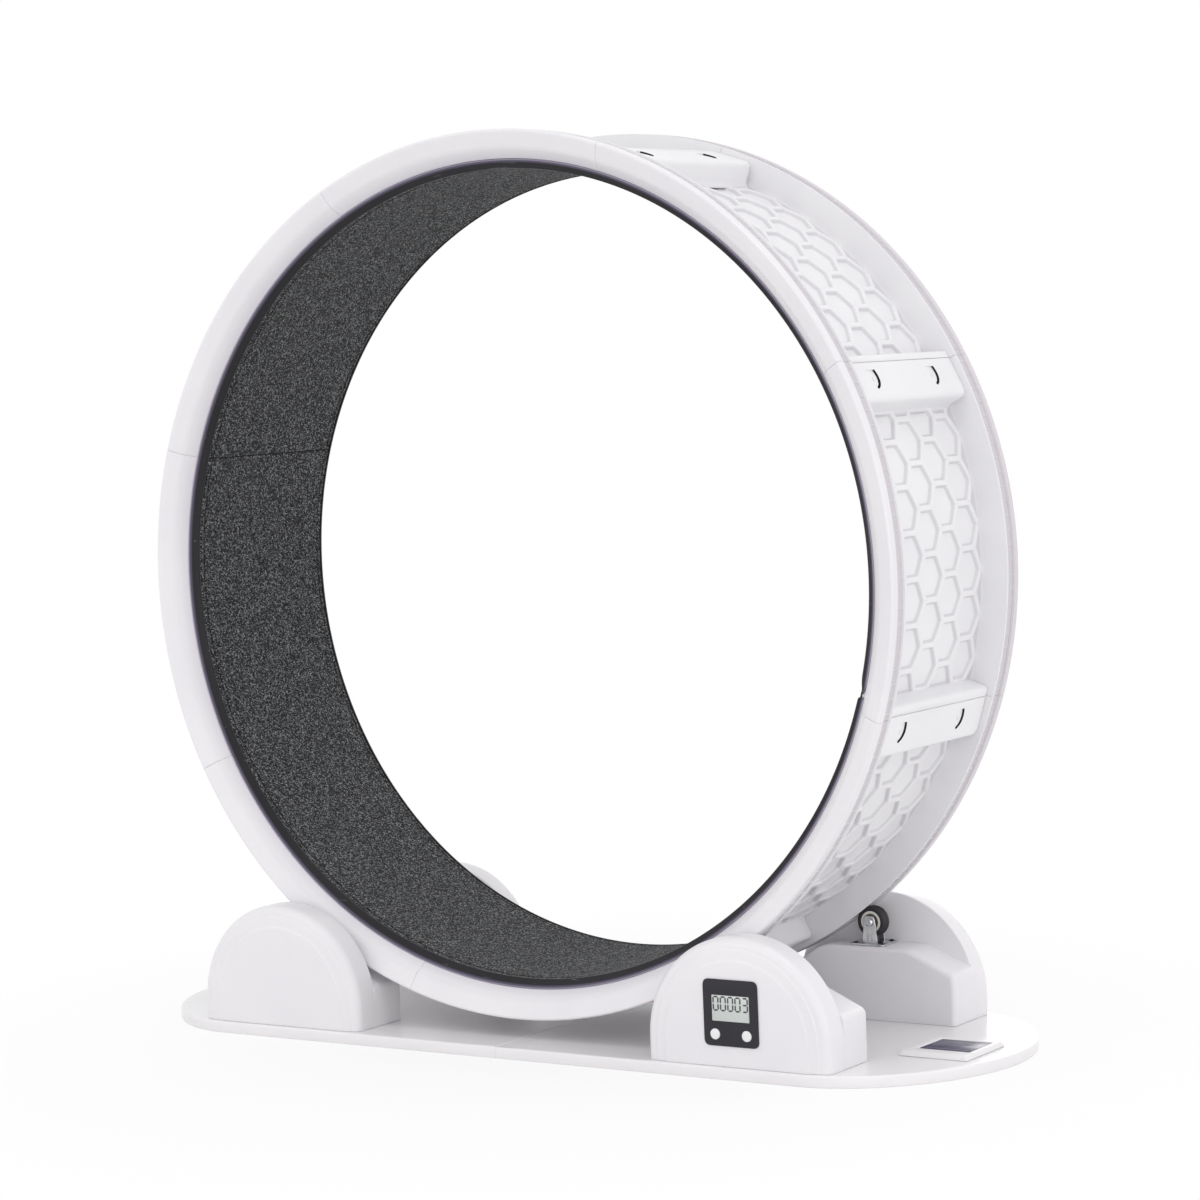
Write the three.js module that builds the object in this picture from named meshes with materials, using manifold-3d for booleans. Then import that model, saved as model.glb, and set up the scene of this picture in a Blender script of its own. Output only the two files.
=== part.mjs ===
// Cat exercise wheel: a carpeted drum that rolls on four rubber rollers.
// Millimetres. +X to the right, +Y to the back, +Z up, floor at z = 0, wheel axis along Y.
import * as THREE from 'three';
import { mergeVertices } from 'three/addons/utils/BufferGeometryUtils.js';
import Module from 'manifold-3d';

const wasm = await Module();
wasm.setup();

// ---- Driving dimensions -------------------------------------------------------------------
// Clearances
const GAP = 0.3; // between pieces that touch
const ROLL_GAP = 0.3; // between a tyre and the groove it carries
const TURN_GAP = 0.35; // round an axle that turns in a bore
const PRESS_GAP = 0.3; // round a button in its hole

// Wheel
const RIM_RADIUS = 500; // outside of the drum's two rims
const RIM_LIFT = 34; // lowest point of the wheel above the floor
const TRACK_WIDTH = 234; // between the two flanges
const SEGMENTS = 8; // panels and rim covers in one turn
const SEAM_ANGLE = 27.4; // degrees, first seam between panels
const STEPS = 9; // facets along one panel

// Track panel: floor, two flanges and the roller bands
const TRACK_DEPTH = 44; // carpet's running face inside the rim
const CARPET_THICKNESS = 4.5;
const FLOOR_THICKNESS = 7.2;
const FLANGE_THICKNESS = 2.5;
const GROOVE_WIDTH = 14.5; // roller groove on each rim
const GROOVE_DEPTH = 2.5;
const BAND_THICKNESS = 3;
const BLOCK_LENGTH = 47; // screw block at the upper end of a panel
const BLOCK_WALL = 3;
const BLOCK_DROP = 7; // how far the blocks stay below the rim
const END_FLANGE = 10; // thickness of the plain end of a panel

// Rim cover
const COVER_WALL = 3;
const SHOULDER = 4.5; // rounding at the outer edge
const FACE_PROUD = 12; // outer face beyond the roller groove
const RIDGE_INSET = 22; // ridge inside the rim
const RIDGE_DROP = 7.5; // ridge behind the outer face
const BEVEL_FOOT_PROUD = 6.5; // foot of the inner bevel beyond the flange
const FOOT_STEP = 6.1; // foot of the bevel outside the panel's inner face

// Edge seal
const CARPET_MARGIN = 0.5; // from the carpet's edge to the flange
const SEAL_JOINT_ANGLE = -15.6; // degrees
const SEAL_JOINT_GAP = 4;

// Base
const BASE_LENGTH = 1108;
const BASE_MARGIN = 6; // base beyond the housings
const BASE_THICKNESS = 13;
const BASE_END = 163; // length of each curved end
const BASE_POWER = 1.9; // superellipse power of the ends
const BASE_SKIN = 3.3; // above the pockets in the underside
const BASE_RIB = 12;
const BASE_RIM = 20;
const LAP_LENGTH = 22; // tongue that joins the two halves
const LAP_HEIGHT = 6;

// Roller housings
const HOUSING_SHIFT = 2; // centre of each housing beyond its roller
const HOUSING_RADIUS = 114; // arc of the outer plate
const HOUSING_ARC_Z = 39; // height of the arc's centre
const HOUSING_WALL = 3;
const HOUSING_DEPTH = 37; // of the half-round part
const HOUSING_RIM_GAP = 4; // between rim cover and outer plate
const HOUSING_EDGE = 13; // rounding of the outer edge
const SHELF_MARGIN = 27.75; // shelf inside the middle of the roller
const SHELF_TOP_Z = 96;
const SHELF_HALF = 56; // half length of the flat top
const SHELF_OUTER_Z = 70; // foot of the slope away from the wheel's middle
const SHELF_INNER_Z = 60; // foot of the slope under the wheel

// Rollers
const TYRE_RADIUS = 17.5;
const TYRE_WIDTH = 13;
const HUB_RADIUS = 11;
const AXLE_RADIUS = 3;
const AXLE_HEAD_RADIUS = 5;
const AXLE_HEAD = 1.6;
const FORK_SHEET = 2;
const FORK_SIDE_GAP = 1.5; // tyre to fork
const FORK_HEAD_RADIUS = 7;
const FORK_FOOT_HALF = 9;
const AXLE_HEIGHT = 25.325; // above the underside of the bracket's plate
const PLATE_LENGTH = 44;
const PLATE_WIDTH = 38;
const PLATE_HOLE_RADIUS = 2.4;
const PLATE_HOLE_INSET = 6;

// Counter
const COUNTER_SHIFT = 3.5; // counter towards the wheel's middle from its housing's centre
const COUNTER_Z = 71.8;
const BEZEL_WIDTH = 68;
const BEZEL_HEIGHT = 72.5;
const BEZEL_CORNER = 5;
const BEZEL_THICKNESS = 1.5;
const CASE_WIDTH = 60;
const CASE_HEIGHT = 67;
const CASE_DEPTH = 15;
const CASE_WALL = 2;
const DISPLAY_WIDTH = 47;
const DISPLAY_HEIGHT = 28.6;
const DISPLAY_RISE = 5; // display centre above the counter's centre
const BUTTON_RADIUS = 6;
const BUTTON_SPREAD = 19.7;
const BUTTON_DROP = 23.3; // buttons below the counter's centre
const BUTTON_PROUD = 1.6;
const BUTTON_COLLAR = 1.5;
const BOARD_THICKNESS = 1.6;
const MAGNET_RADIUS = 5;
const MAGNET_THICKNESS = 3.6;
const MAGNET_ANGLE = 5; // degrees
const SENSOR_SIZE = [14, 4, 8];
const SENSOR_SHIFT = 75; // towards the wheel's middle from its housing's centre
const SENSOR_Z = 105;

// Solar panel
const SOLAR_INSET = 71; // centre of the panel inside the base's end
const SOLAR_Y = -20;
const SOLAR_LENGTH = 84;
const SOLAR_DEPTH = 90;
const SOLAR_HEIGHT = 6;
const SOLAR_SLOPE = 3;
const CELL_LENGTH = 62;
const CELL_DEPTH = 56;
const CELL_THICKNESS = 1.8;
const CELL_SUNK = 0.6;

// ---- Sizes worked out from the driving dimensions -----------------------------------------
const DEG = Math.PI / 180;
const PITCH = 360 / SEGMENTS;
const FACET = PITCH / STEPS;
const AXIS_HEIGHT = RIM_RADIUS + RIM_LIFT;

// Across the drum, from its middle plane
const FLANGE_INNER_Y = TRACK_WIDTH / 2;
const FLANGE_OUTER_Y = FLANGE_INNER_Y + FLANGE_THICKNESS;
const BAND_END_Y = FLANGE_OUTER_Y + GROOVE_WIDTH;
const CARPET_HALF = FLANGE_INNER_Y - CARPET_MARGIN;
const BEVEL_FOOT_Y = FLANGE_OUTER_Y + BEVEL_FOOT_PROUD;
const WHEEL_HALF_WIDTH = BAND_END_Y + FACE_PROUD;

// Outwards from the wheel's axis
const BORE_RADIUS = RIM_RADIUS - TRACK_DEPTH;
const CARPET_OUTER = BORE_RADIUS + CARPET_THICKNESS;
const PANEL_INNER = CARPET_OUTER + GAP;
const PANEL_OUTER = PANEL_INNER + FLOOR_THICKNESS;
const COVER_FOOT = PANEL_INNER + FOOT_STEP;
const RIDGE_RADIUS = RIM_RADIUS - RIDGE_INSET;
const BLOCK_RADIUS = RIM_RADIUS - BLOCK_DROP;
const GROOVE_RADIUS = RIM_RADIUS - GROOVE_DEPTH;
const BAND_INNER = GROOVE_RADIUS - BAND_THICKNESS;

// Rollers under the grooves, brackets on the shelves
const PLATE_BOTTOM = SHELF_TOP_Z + GAP;
const ROLLER_Y = FLANGE_OUTER_Y + GROOVE_WIDTH / 2;
const ROLLER_Z = PLATE_BOTTOM + AXLE_HEIGHT;
const ROLLER_REACH = GROOVE_RADIUS + ROLL_GAP + TYRE_RADIUS;
const ROLLER_X = Math.sqrt(ROLLER_REACH ** 2 - (AXIS_HEIGHT - ROLLER_Z) ** 2);
const FORK_INNER = TYRE_WIDTH / 2 + FORK_SIDE_GAP;
const FORK_OUTER = FORK_INNER + FORK_SHEET;

// Housings round the rollers, and the base under them
const BASE_TOP = BASE_THICKNESS;
const HOUSING_X = ROLLER_X + HOUSING_SHIFT;
const HOUSING_FOOT = BASE_TOP + GAP;
const HOUSING_INNER_Y = WHEEL_HALF_WIDTH + HOUSING_RIM_GAP;
const HOUSING_OUTER_Y = HOUSING_INNER_Y + HOUSING_DEPTH;
const SHELF_INNER_Y = ROLLER_Y - SHELF_MARGIN;
const BASE_DEPTH = 2 * (HOUSING_OUTER_Y + BASE_MARGIN);
const COUNTER_X = HOUSING_X - COUNTER_SHIFT;
const SENSOR_X = HOUSING_X - SENSOR_SHIFT;
const SOLAR_X = BASE_LENGTH / 2 - SOLAR_INSET;
const CORNERS = [['front_left', -1, -1], ['front_right', 1, -1], ['rear_left', -1, 1], ['rear_right', 1, 1]];

// ---- Materials ----------------------------------------------------------------------------
function finish(color, roughness, metalness = 0) {
  return new THREE.MeshStandardMaterial({ color, roughness, metalness });
}
const COVER_WHITE = finish('#e4e2e6', 0.35);
const TRACK_WHITE = finish('#e8eaec', 0.4);
const BASE_WHITE = finish('#e4e2e4', 0.4);
const CHARCOAL_CARPET = finish('#4b4d50', 1.0);
const BLACK_RUBBER = finish('#1b1a1e', 0.55);
const ZINC = finish('#b9bcc0', 0.35, 0.9);
const HUB_PLASTIC = finish('#d8d6d2', 0.5);
const CASE_BLACK = finish('#2e2c33', 0.45);
const DISPLAY_GREY = finish('#c5cbc9', 0.2);
const BUTTON_WHITE = finish('#efefef', 0.4);
const BOARD_GREEN = finish('#2f6b45', 0.6);
const CELL_GLASS = finish('#3a3848', 0.1);
const MAGNET_METAL = finish('#8f9194', 0.4, 0.9);

// ---- Solids -------------------------------------------------------------------------------
// Manifold solid of a closed three.js geometry.
function solid(geometry) {
  const bare = geometry.clone();
  bare.deleteAttribute('normal');
  bare.deleteAttribute('uv');
  const merged = mergeVertices(bare, 1e-4);
  const vertProperties = new Float32Array(merged.attributes.position.array);
  const triVerts = new Uint32Array(merged.index.array);
  return new wasm.Manifold(new wasm.Mesh({ numProp: 3, vertProperties, triVerts }));
}

// Geometry of a Manifold solid.
function geometryOf(manifold) {
  const mesh = manifold.getMesh();
  const geometry = new THREE.BufferGeometry();
  geometry.setAttribute('position', new THREE.BufferAttribute(new Float32Array(mesh.vertProperties), 3));
  geometry.setIndex(new THREE.BufferAttribute(new Uint32Array(mesh.triVerts), 1));
  geometry.computeVertexNormals();
  return geometry;
}

// How far a point at this angle is pulled in, to lie on the flat facet between two grid angles.
function onFacet(angle) {
  const along = (angle - SEAM_ANGLE) / FACET;
  const offset = (along - Math.floor(along) - 0.5) * FACET;
  return Math.cos((FACET / 2) * DEG) / Math.cos(offset * DEG);
}

// A closed profile of [radius, y] points carried round the wheel axis between two angles.
function sector(profile, startDeg, endDeg) {
  const angles = [startDeg];
  let next = SEAM_ANGLE + Math.ceil((startDeg - SEAM_ANGLE) / FACET + 1e-6) * FACET;
  for (; next < endDeg - 0.05 * FACET; next += FACET) {
    if (next > startDeg + 0.05 * FACET) angles.push(next);
  }
  angles.push(endDeg);
  const count = profile.length;
  const positions = [];
  for (const angle of angles) {
    const scale = onFacet(angle);
    const cos = scale * Math.cos(angle * DEG);
    const sin = scale * Math.sin(angle * DEG);
    for (const [radius, y] of profile) {
      positions.push(radius * cos, y, AXIS_HEIGHT + radius * sin);
    }
  }
  const index = [];
  for (let i = 0; i < angles.length - 1; i++) {
    for (let j = 0; j < count; j++) {
      const a = i * count + j;
      const b = i * count + ((j + 1) % count);
      index.push(a, b, b + count, a, b + count, a + count);
    }
  }
  const last = (angles.length - 1) * count;
  const outline = profile.map(([radius, y]) => new THREE.Vector2(radius, y));
  const counterClockwise = !THREE.ShapeUtils.isClockWise(outline);
  for (const [a, b, c] of THREE.ShapeUtils.triangulateShape(outline, [])) {
    const flip = counterClockwise ? [a, c, b] : [a, b, c];
    index.push(...flip, last + flip[0], last + flip[2], last + flip[1]);
  }
  const geometry = new THREE.BufferGeometry();
  geometry.setAttribute('position', new THREE.Float32BufferAttribute(positions, 3));
  geometry.setIndex(index);
  return outward(geometry);
}

// Flips every triangle of a closed geometry whose faces point inwards.
function outward(geometry) {
  const position = geometry.attributes.position;
  const index = Array.from(geometry.index.array);
  const a = new THREE.Vector3();
  const b = new THREE.Vector3();
  const c = new THREE.Vector3();
  let volume = 0;
  for (let i = 0; i < index.length; i += 3) {
    a.fromBufferAttribute(position, index[i]);
    b.fromBufferAttribute(position, index[i + 1]);
    c.fromBufferAttribute(position, index[i + 2]);
    volume += a.dot(b.cross(c));
  }
  if (volume < 0) {
    for (let i = 0; i < index.length; i += 3) {
      [index[i + 1], index[i + 2]] = [index[i + 2], index[i + 1]];
    }
    geometry.setIndex(index);
  }
  geometry.computeVertexNormals();
  return geometry;
}

// The same profile on the other side of the wheel.
const mirrorProfile = (profile, side) => profile.map(([radius, y]) => [radius, y * side]);

// Box between two corners.
function block(low, high) {
  const size = high.map((value, i) => value - low[i]);
  const centre = high.map((value, i) => (value + low[i]) / 2);
  return new THREE.BoxGeometry(...size).translate(...centre);
}

// A shape drawn in X and Z, extruded from yLow to yHigh.
function extrudeY(shape, yLow, yHigh, options = {}) {
  const settings = { depth: yHigh - yLow, bevelEnabled: false, curveSegments: 12, ...options };
  return new THREE.ExtrudeGeometry(shape, settings).rotateX(Math.PI / 2).translate(0, yHigh, 0);
}

// Cylinder along Y between two planes.
function rodY(radius, yLow, yHigh, x, z, sides = 24) {
  const rod = new THREE.CylinderGeometry(radius, radius, yHigh - yLow, sides);
  return rod.translate(x, (yLow + yHigh) / 2, z);
}

// Radius of a polygon's corners whose flats stay outside a circle.
const around = (radius, sides) => radius / Math.cos(Math.PI / sides);

// A solid made for the rear right corner, mirrored to another corner.
function cornered(manifold, sideX, sideY) {
  const geometry = geometryOf(manifold).scale(sideX, sideY, 1);
  return outward(geometry);
}

const model = new THREE.Group();
function add(name, geometry, material) {
  const mesh = new THREE.Mesh(geometry, material);
  mesh.name = name;
  model.add(mesh);
}

// ---- Drum: eight track panels -------------------------------------------------------------
// One panel's section: floor, flanges, lips and the bands that the rollers carry.
const panelSide = [
  [PANEL_INNER, FLANGE_OUTER_Y],
  [BAND_INNER, FLANGE_OUTER_Y],
  [BAND_INNER, BAND_END_Y],
  [GROOVE_RADIUS, BAND_END_Y],
  [GROOVE_RADIUS, FLANGE_OUTER_Y],
  [RIM_RADIUS, FLANGE_OUTER_Y],
  [RIM_RADIUS, FLANGE_INNER_Y],
  [PANEL_OUTER, FLANGE_INNER_Y],
];
const panelProfile = [...panelSide, ...mirrorProfile(panelSide, -1).reverse()];

// Box in a frame that stands radially at an angle: along the radius, along the tangent and in y.
function radialBox(angle, radii, tangents, ys) {
  const box = block([radii[0], ys[0], tangents[0]], [radii[1], ys[1], tangents[1]]);
  return box.rotateY(-angle * DEG).translate(0, 0, AXIS_HEIGHT);
}

// Cuts away what lies beyond a radial seam plane; `side` is 1 to keep larger angles, -1 for smaller.
function trimAtSeam(manifold, angle, side) {
  const normal = [-side * Math.sin(angle * DEG), 0, side * Math.cos(angle * DEG)];
  return manifold.trimByPlane(normal, normal[2] * AXIS_HEIGHT + GAP / 2);
}

function trackPanel(index) {
  const start = SEAM_ANGLE + PITCH * index;
  const end = start + PITCH;
  const inside = PANEL_OUTER - 2;
  const halfWidth = FLANGE_INNER_Y + 1;
  const outer = radialBox(end, [inside, BLOCK_RADIUS], [-BLOCK_LENGTH, 2], [-halfWidth, halfWidth]);
  const roof = BLOCK_RADIUS - BLOCK_WALL;
  const floorTop = PANEL_OUTER + 1.5;
  const cavityY = FLANGE_INNER_Y - BLOCK_WALL;
  const cavity = radialBox(end, [floorTop, roof], [-BLOCK_LENGTH + BLOCK_WALL, 4], [-cavityY, cavityY]);
  const plainEnd = radialBox(start, [inside, BLOCK_RADIUS], [-2, END_FLANGE], [-halfWidth, halfWidth]);
  const body = solid(sector(panelProfile, start, end)).add(solid(outer)).add(solid(plainEnd));
  return geometryOf(trimAtSeam(trimAtSeam(body.subtract(solid(cavity)), start, 1), end, -1));
}

// ---- Drum: rim covers ---------------------------------------------------------------------
// Channel section: rim, rounded shoulder, face, ridge, bevel and foot.
function coverProfile() {
  const rim = BAND_END_Y + GAP;
  const face = WHEEL_HALF_WIDTH;
  const wall = COVER_WALL;
  const bend = wall * 0.6; // how far the inside of the bevel's corners shifts
  return [
    [RIM_RADIUS, rim],
    [RIM_RADIUS, face - SHOULDER],
    [RIM_RADIUS - SHOULDER * 0.3, face - SHOULDER * 0.3],
    [RIM_RADIUS - SHOULDER, face],
    [RIDGE_RADIUS, face - RIDGE_DROP],
    [COVER_FOOT, BEVEL_FOOT_Y],
    [COVER_FOOT, FLANGE_OUTER_Y + GAP],
    [COVER_FOOT + wall, FLANGE_OUTER_Y + GAP],
    [COVER_FOOT + wall, BEVEL_FOOT_Y - bend],
    [RIDGE_RADIUS + bend, face - RIDGE_DROP - wall],
    [RIM_RADIUS - SHOULDER, face - wall],
    [RIM_RADIUS - wall, face - SHOULDER],
    [RIM_RADIUS - wall, rim],
  ];
}

// ---- Drum: edge seals ---------------------------------------------------------------------
// Rubber strip that bridges from the carpet's edge to the foot of the rim cover.
function sealProfile() {
  const near = CARPET_HALF + GAP;
  const tuck = CARPET_OUTER - GAP / 2;
  const flange = FLANGE_OUTER_Y + GAP;
  const foot = COVER_FOOT - GAP;
  return [
    [BORE_RADIUS, near],
    [BORE_RADIUS, near + 2.4],
    [BORE_RADIUS + 2.8, flange + 1.5],
    [BORE_RADIUS + 6.5, flange + 4.2],
    [foot - 1.2, BEVEL_FOOT_Y],
    [foot, BEVEL_FOOT_Y - 0.7],
    [foot, BEVEL_FOOT_Y - 3],
    [tuck, flange],
    [tuck, near],
  ];
}

const seamHalf = GAP / 2 / PANEL_INNER / DEG;
for (let i = 0; i < SEGMENTS; i++) {
  const start = SEAM_ANGLE + PITCH * i + seamHalf;
  const end = start + PITCH - 2 * seamHalf;
  add(`track_panel_${i + 1}`, trackPanel(i), TRACK_WHITE);
  add(`front_ring_segment_${i + 1}`, sector(mirrorProfile(coverProfile(), -1), start, end), COVER_WHITE);
  add(`rear_ring_segment_${i + 1}`, sector(coverProfile(), start, end), COVER_WHITE);
}
const sealHalf = SEAL_JOINT_GAP / 2 / BORE_RADIUS / DEG;
const sealStart = SEAL_JOINT_ANGLE + sealHalf;
const sealEnd = SEAL_JOINT_ANGLE + 360 - sealHalf;
add('front_edge_seal', sector(mirrorProfile(sealProfile(), -1), sealStart, sealEnd), BLACK_RUBBER);
add('rear_edge_seal', sector(sealProfile(), sealStart, sealEnd), BLACK_RUBBER);

// ---- Drum: two carpet strips, joined at opposite panel seams -------------------------------
const carpetProfile = [
  [BORE_RADIUS, -CARPET_HALF],
  [CARPET_OUTER, -CARPET_HALF],
  [CARPET_OUTER, CARPET_HALF],
  [BORE_RADIUS, CARPET_HALF],
];
for (let i = 0; i < 2; i++) {
  const start = SEAM_ANGLE - PITCH + 180 * i + seamHalf;
  add(`carpet_strip_${i + 1}`, sector(carpetProfile, start, start + 180 - 2 * seamHalf), CHARCOAL_CARPET);
}

// ---- Drum: magnet that the counter's sensor reads ------------------------------------------
const magnetRadius = (RIDGE_RADIUS + BAND_INNER) / 2;
const magnetFace = -(WHEEL_HALF_WIDTH - RIDGE_DROP - COVER_WALL - GAP);
const magnetX = magnetRadius * Math.cos(MAGNET_ANGLE * DEG);
const magnetZ = AXIS_HEIGHT + magnetRadius * Math.sin(MAGNET_ANGLE * DEG);
const magnet = rodY(MAGNET_RADIUS, magnetFace, magnetFace + MAGNET_THICKNESS, magnetX, magnetZ, 16);
add('counter_magnet', magnet, MAGNET_METAL);

// ---- Base: two moulded halves with a lapped joint ------------------------------------------
// Plan of the right half, from the seam to the curved end.
function basePlan() {
  const half = BASE_DEPTH / 2;
  const straight = BASE_LENGTH / 2 - BASE_END;
  const shape = new THREE.Shape();
  const points = 20;
  shape.moveTo(GAP / 2, -half);
  for (let i = 0; i <= points; i++) {
    const angle = (-0.5 + i / points) * Math.PI;
    const reach = Math.cos(angle) ** (2 / BASE_POWER);
    const side = Math.sign(Math.sin(angle)) * Math.abs(Math.sin(angle)) ** (2 / BASE_POWER);
    shape.lineTo(straight + BASE_END * reach, half * side);
  }
  shape.lineTo(GAP / 2, half);
  return shape;
}

function baseHalf(side) {
  const plate = new THREE.ExtrudeGeometry(basePlan(), { depth: BASE_THICKNESS, bevelEnabled: false });
  let body = solid(plate);
  const straight = BASE_LENGTH / 2 - BASE_END;
  const centre = 2 * LAP_LENGTH;
  const bay = (straight - centre - BASE_RIB) / 2;
  const wide = BASE_DEPTH / 2 - BASE_RIM;
  const pockets = [
    [centre, centre + bay, wide],
    [centre + bay + BASE_RIB, straight, wide],
    [straight + BASE_RIB, straight + BASE_END * 0.66, wide * 0.5],
  ];
  for (const [from, to, reach] of pockets) {
    for (const end of [-1, 1]) {
      const low = end < 0 ? -reach : BASE_RIB / 2;
      const high = end < 0 ? -BASE_RIB / 2 : reach;
      body = body.subtract(solid(block([from, low, -1], [to, high, BASE_THICKNESS - BASE_SKIN])));
    }
  }
  const lapReach = BASE_DEPTH / 2 - BASE_RIM;
  if (side < 0) {
    body = body.add(solid(block([-LAP_LENGTH, -lapReach, 0], [LAP_LENGTH, lapReach, LAP_HEIGHT])));
  } else {
    const slot = lapReach + GAP;
    body = body.subtract(solid(block([-1, -slot, -1], [LAP_LENGTH + GAP, slot, LAP_HEIGHT + GAP])));
  }
  return cornered(body, side, 1);
}
add('base_plate_left', baseHalf(-1), BASE_WHITE);
add('base_plate_right', baseHalf(1), BASE_WHITE);

// ---- Roller housings ----------------------------------------------------------------------
// Outline of the outer plate: straight sides under a half circle, drawn on below the base.
function plateOutline(inset) {
  const radius = HOUSING_RADIUS - inset;
  const shape = new THREE.Shape();
  shape.moveTo(HOUSING_X - radius, -HOUSING_ARC_Z);
  shape.lineTo(HOUSING_X + radius, -HOUSING_ARC_Z);
  shape.lineTo(HOUSING_X + radius, HOUSING_ARC_Z);
  shape.absarc(HOUSING_X, HOUSING_ARC_Z, radius, 0, Math.PI, false);
  shape.closePath();
  return shape;
}

// Outer plate and shelf, as a full solid that is `inset` smaller than the housing.
function housingBody(inset) {
  const outer = HOUSING_OUTER_Y - inset;
  const inner = HOUSING_INNER_Y + inset;
  const bevel = { bevelEnabled: true, bevelThickness: HOUSING_EDGE, bevelSize: HOUSING_EDGE, bevelSegments: 2 };
  const settings = { ...bevel, curveSegments: 16 };
  const plate = extrudeY(plateOutline(inset + HOUSING_EDGE), inner, outer - HOUSING_EDGE, settings);
  const wide = HOUSING_X + HOUSING_RADIUS + 1;
  const keep = block([0, inner, HOUSING_FOOT - inset], [wide, outer + 1, HOUSING_ARC_Z + HOUSING_RADIUS + 1]);
  const left = HOUSING_X - HOUSING_RADIUS + inset;
  const right = HOUSING_X + HOUSING_RADIUS - inset;
  const foot = HOUSING_FOOT - inset;
  const shelf = new THREE.Shape();
  drawPolygon(shelf, [
    [left, foot],
    [right, foot],
    [right, SHELF_OUTER_Z - inset * 0.5],
    [HOUSING_X + SHELF_HALF - inset * 0.3, SHELF_TOP_Z - inset],
    [HOUSING_X - SHELF_HALF + inset * 0.3, SHELF_TOP_Z - inset],
    [left, SHELF_INNER_Z - inset * 0.5],
  ]);
  const shelfSolid = solid(extrudeY(shelf, SHELF_INNER_Y + inset, inner + 1));
  return solid(plate).intersect(solid(keep)).add(shelfSolid);
}

function drawPolygon(shape, points) {
  points.forEach(([x, z], i) => (i ? shape.lineTo(x, z) : shape.moveTo(x, z)));
  shape.closePath();
}

const housingShell = housingBody(0).subtract(housingBody(HOUSING_WALL));
const cutoutHalf = [CASE_WIDTH / 2 + GAP, CASE_HEIGHT / 2 + GAP];
const cutout = block(
  [COUNTER_X - cutoutHalf[0], HOUSING_OUTER_Y - 2 * HOUSING_WALL, COUNTER_Z - cutoutHalf[1]],
  [COUNTER_X + cutoutHalf[0], HOUSING_OUTER_Y + 1, COUNTER_Z + cutoutHalf[1]],
);

// ---- Rollers: pressed bracket, axle, hub and tyre -------------------------------------------
const SIDES = 32;
const BORE_SIDES = 16;
const forkShape = new THREE.Shape();
forkShape.moveTo(ROLLER_X - FORK_FOOT_HALF, PLATE_BOTTOM);
forkShape.lineTo(ROLLER_X + FORK_FOOT_HALF, PLATE_BOTTOM);
forkShape.lineTo(ROLLER_X + FORK_HEAD_RADIUS, ROLLER_Z);
forkShape.absarc(ROLLER_X, ROLLER_Z, FORK_HEAD_RADIUS, 0, Math.PI, false);
forkShape.closePath();

function rollerBracket() {
  const plateLow = [ROLLER_X - PLATE_LENGTH / 2, ROLLER_Y - PLATE_WIDTH / 2, PLATE_BOTTOM];
  const plateHigh = [ROLLER_X + PLATE_LENGTH / 2, ROLLER_Y + PLATE_WIDTH / 2, PLATE_BOTTOM + FORK_SHEET];
  let body = solid(block(plateLow, plateHigh));
  for (const side of [-1, 1]) {
    const middle = ROLLER_Y + side * (FORK_INNER + FORK_SHEET / 2);
    const leg = extrudeY(forkShape, middle - FORK_SHEET / 2, middle + FORK_SHEET / 2, { curveSegments: 10 });
    body = body.add(solid(leg));
  }
  const boreRadius = around(AXLE_RADIUS + TURN_GAP, BORE_SIDES);
  const reach = FORK_OUTER + 1;
  const bore = rodY(boreRadius, ROLLER_Y - reach, ROLLER_Y + reach, ROLLER_X, ROLLER_Z, BORE_SIDES);
  body = body.subtract(solid(bore));
  for (const [sx, sy] of [[-1, -1], [1, -1], [-1, 1], [1, 1]]) {
    const hole = new THREE.CylinderGeometry(PLATE_HOLE_RADIUS, PLATE_HOLE_RADIUS, 3 * FORK_SHEET, 10);
    const x = ROLLER_X + sx * (PLATE_LENGTH / 2 - PLATE_HOLE_INSET);
    const y = ROLLER_Y + sy * (PLATE_WIDTH / 2 - PLATE_HOLE_INSET);
    body = body.subtract(solid(hole.rotateX(Math.PI / 2).translate(x, y, PLATE_BOTTOM)));
  }
  return body;
}

// Lathe of [radius, y] points about the roller's own axis.
function turnedPiece(points, sides) {
  const profile = points.map(([radius, y]) => new THREE.Vector2(radius, y));
  const lathe = new THREE.LatheGeometry(profile, sides);
  return solid(outward(mergeBare(lathe))).translate([ROLLER_X, ROLLER_Y, ROLLER_Z]);
}

function mergeBare(geometry) {
  geometry.deleteAttribute('normal');
  geometry.deleteAttribute('uv');
  return mergeVertices(geometry, 1e-4);
}

const headY = FORK_OUTER + GAP;
const axlePoints = [
  [0, -headY - AXLE_HEAD],
  [AXLE_HEAD_RADIUS - 1, -headY - AXLE_HEAD],
  [AXLE_HEAD_RADIUS, -headY],
  [AXLE_RADIUS, -headY],
  [AXLE_RADIUS, headY],
  [AXLE_HEAD_RADIUS, headY],
  [AXLE_HEAD_RADIUS - 1, headY + AXLE_HEAD],
  [0, headY + AXLE_HEAD],
];
const hubBore = around(AXLE_RADIUS + TURN_GAP, BORE_SIDES);
const hubHalf = TYRE_WIDTH / 2;
const hubPoints = [
  [hubBore, -hubHalf],
  [HUB_RADIUS, -hubHalf],
  [HUB_RADIUS, hubHalf],
  [hubBore, hubHalf],
  [hubBore, -hubHalf],
];
const tyreInner = HUB_RADIUS + GAP;
const tyreEdge = 1.2;
const tyrePoints = [
  [tyreInner, -hubHalf],
  [TYRE_RADIUS - tyreEdge, -hubHalf],
  [TYRE_RADIUS, -hubHalf + tyreEdge],
  [TYRE_RADIUS, hubHalf - tyreEdge],
  [TYRE_RADIUS - tyreEdge, hubHalf],
  [tyreInner, hubHalf],
  [tyreInner, -hubHalf],
];
const bracket = rollerBracket();
const axle = turnedPiece(axlePoints, BORE_SIDES);
const hub = turnedPiece(hubPoints, SIDES);
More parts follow.
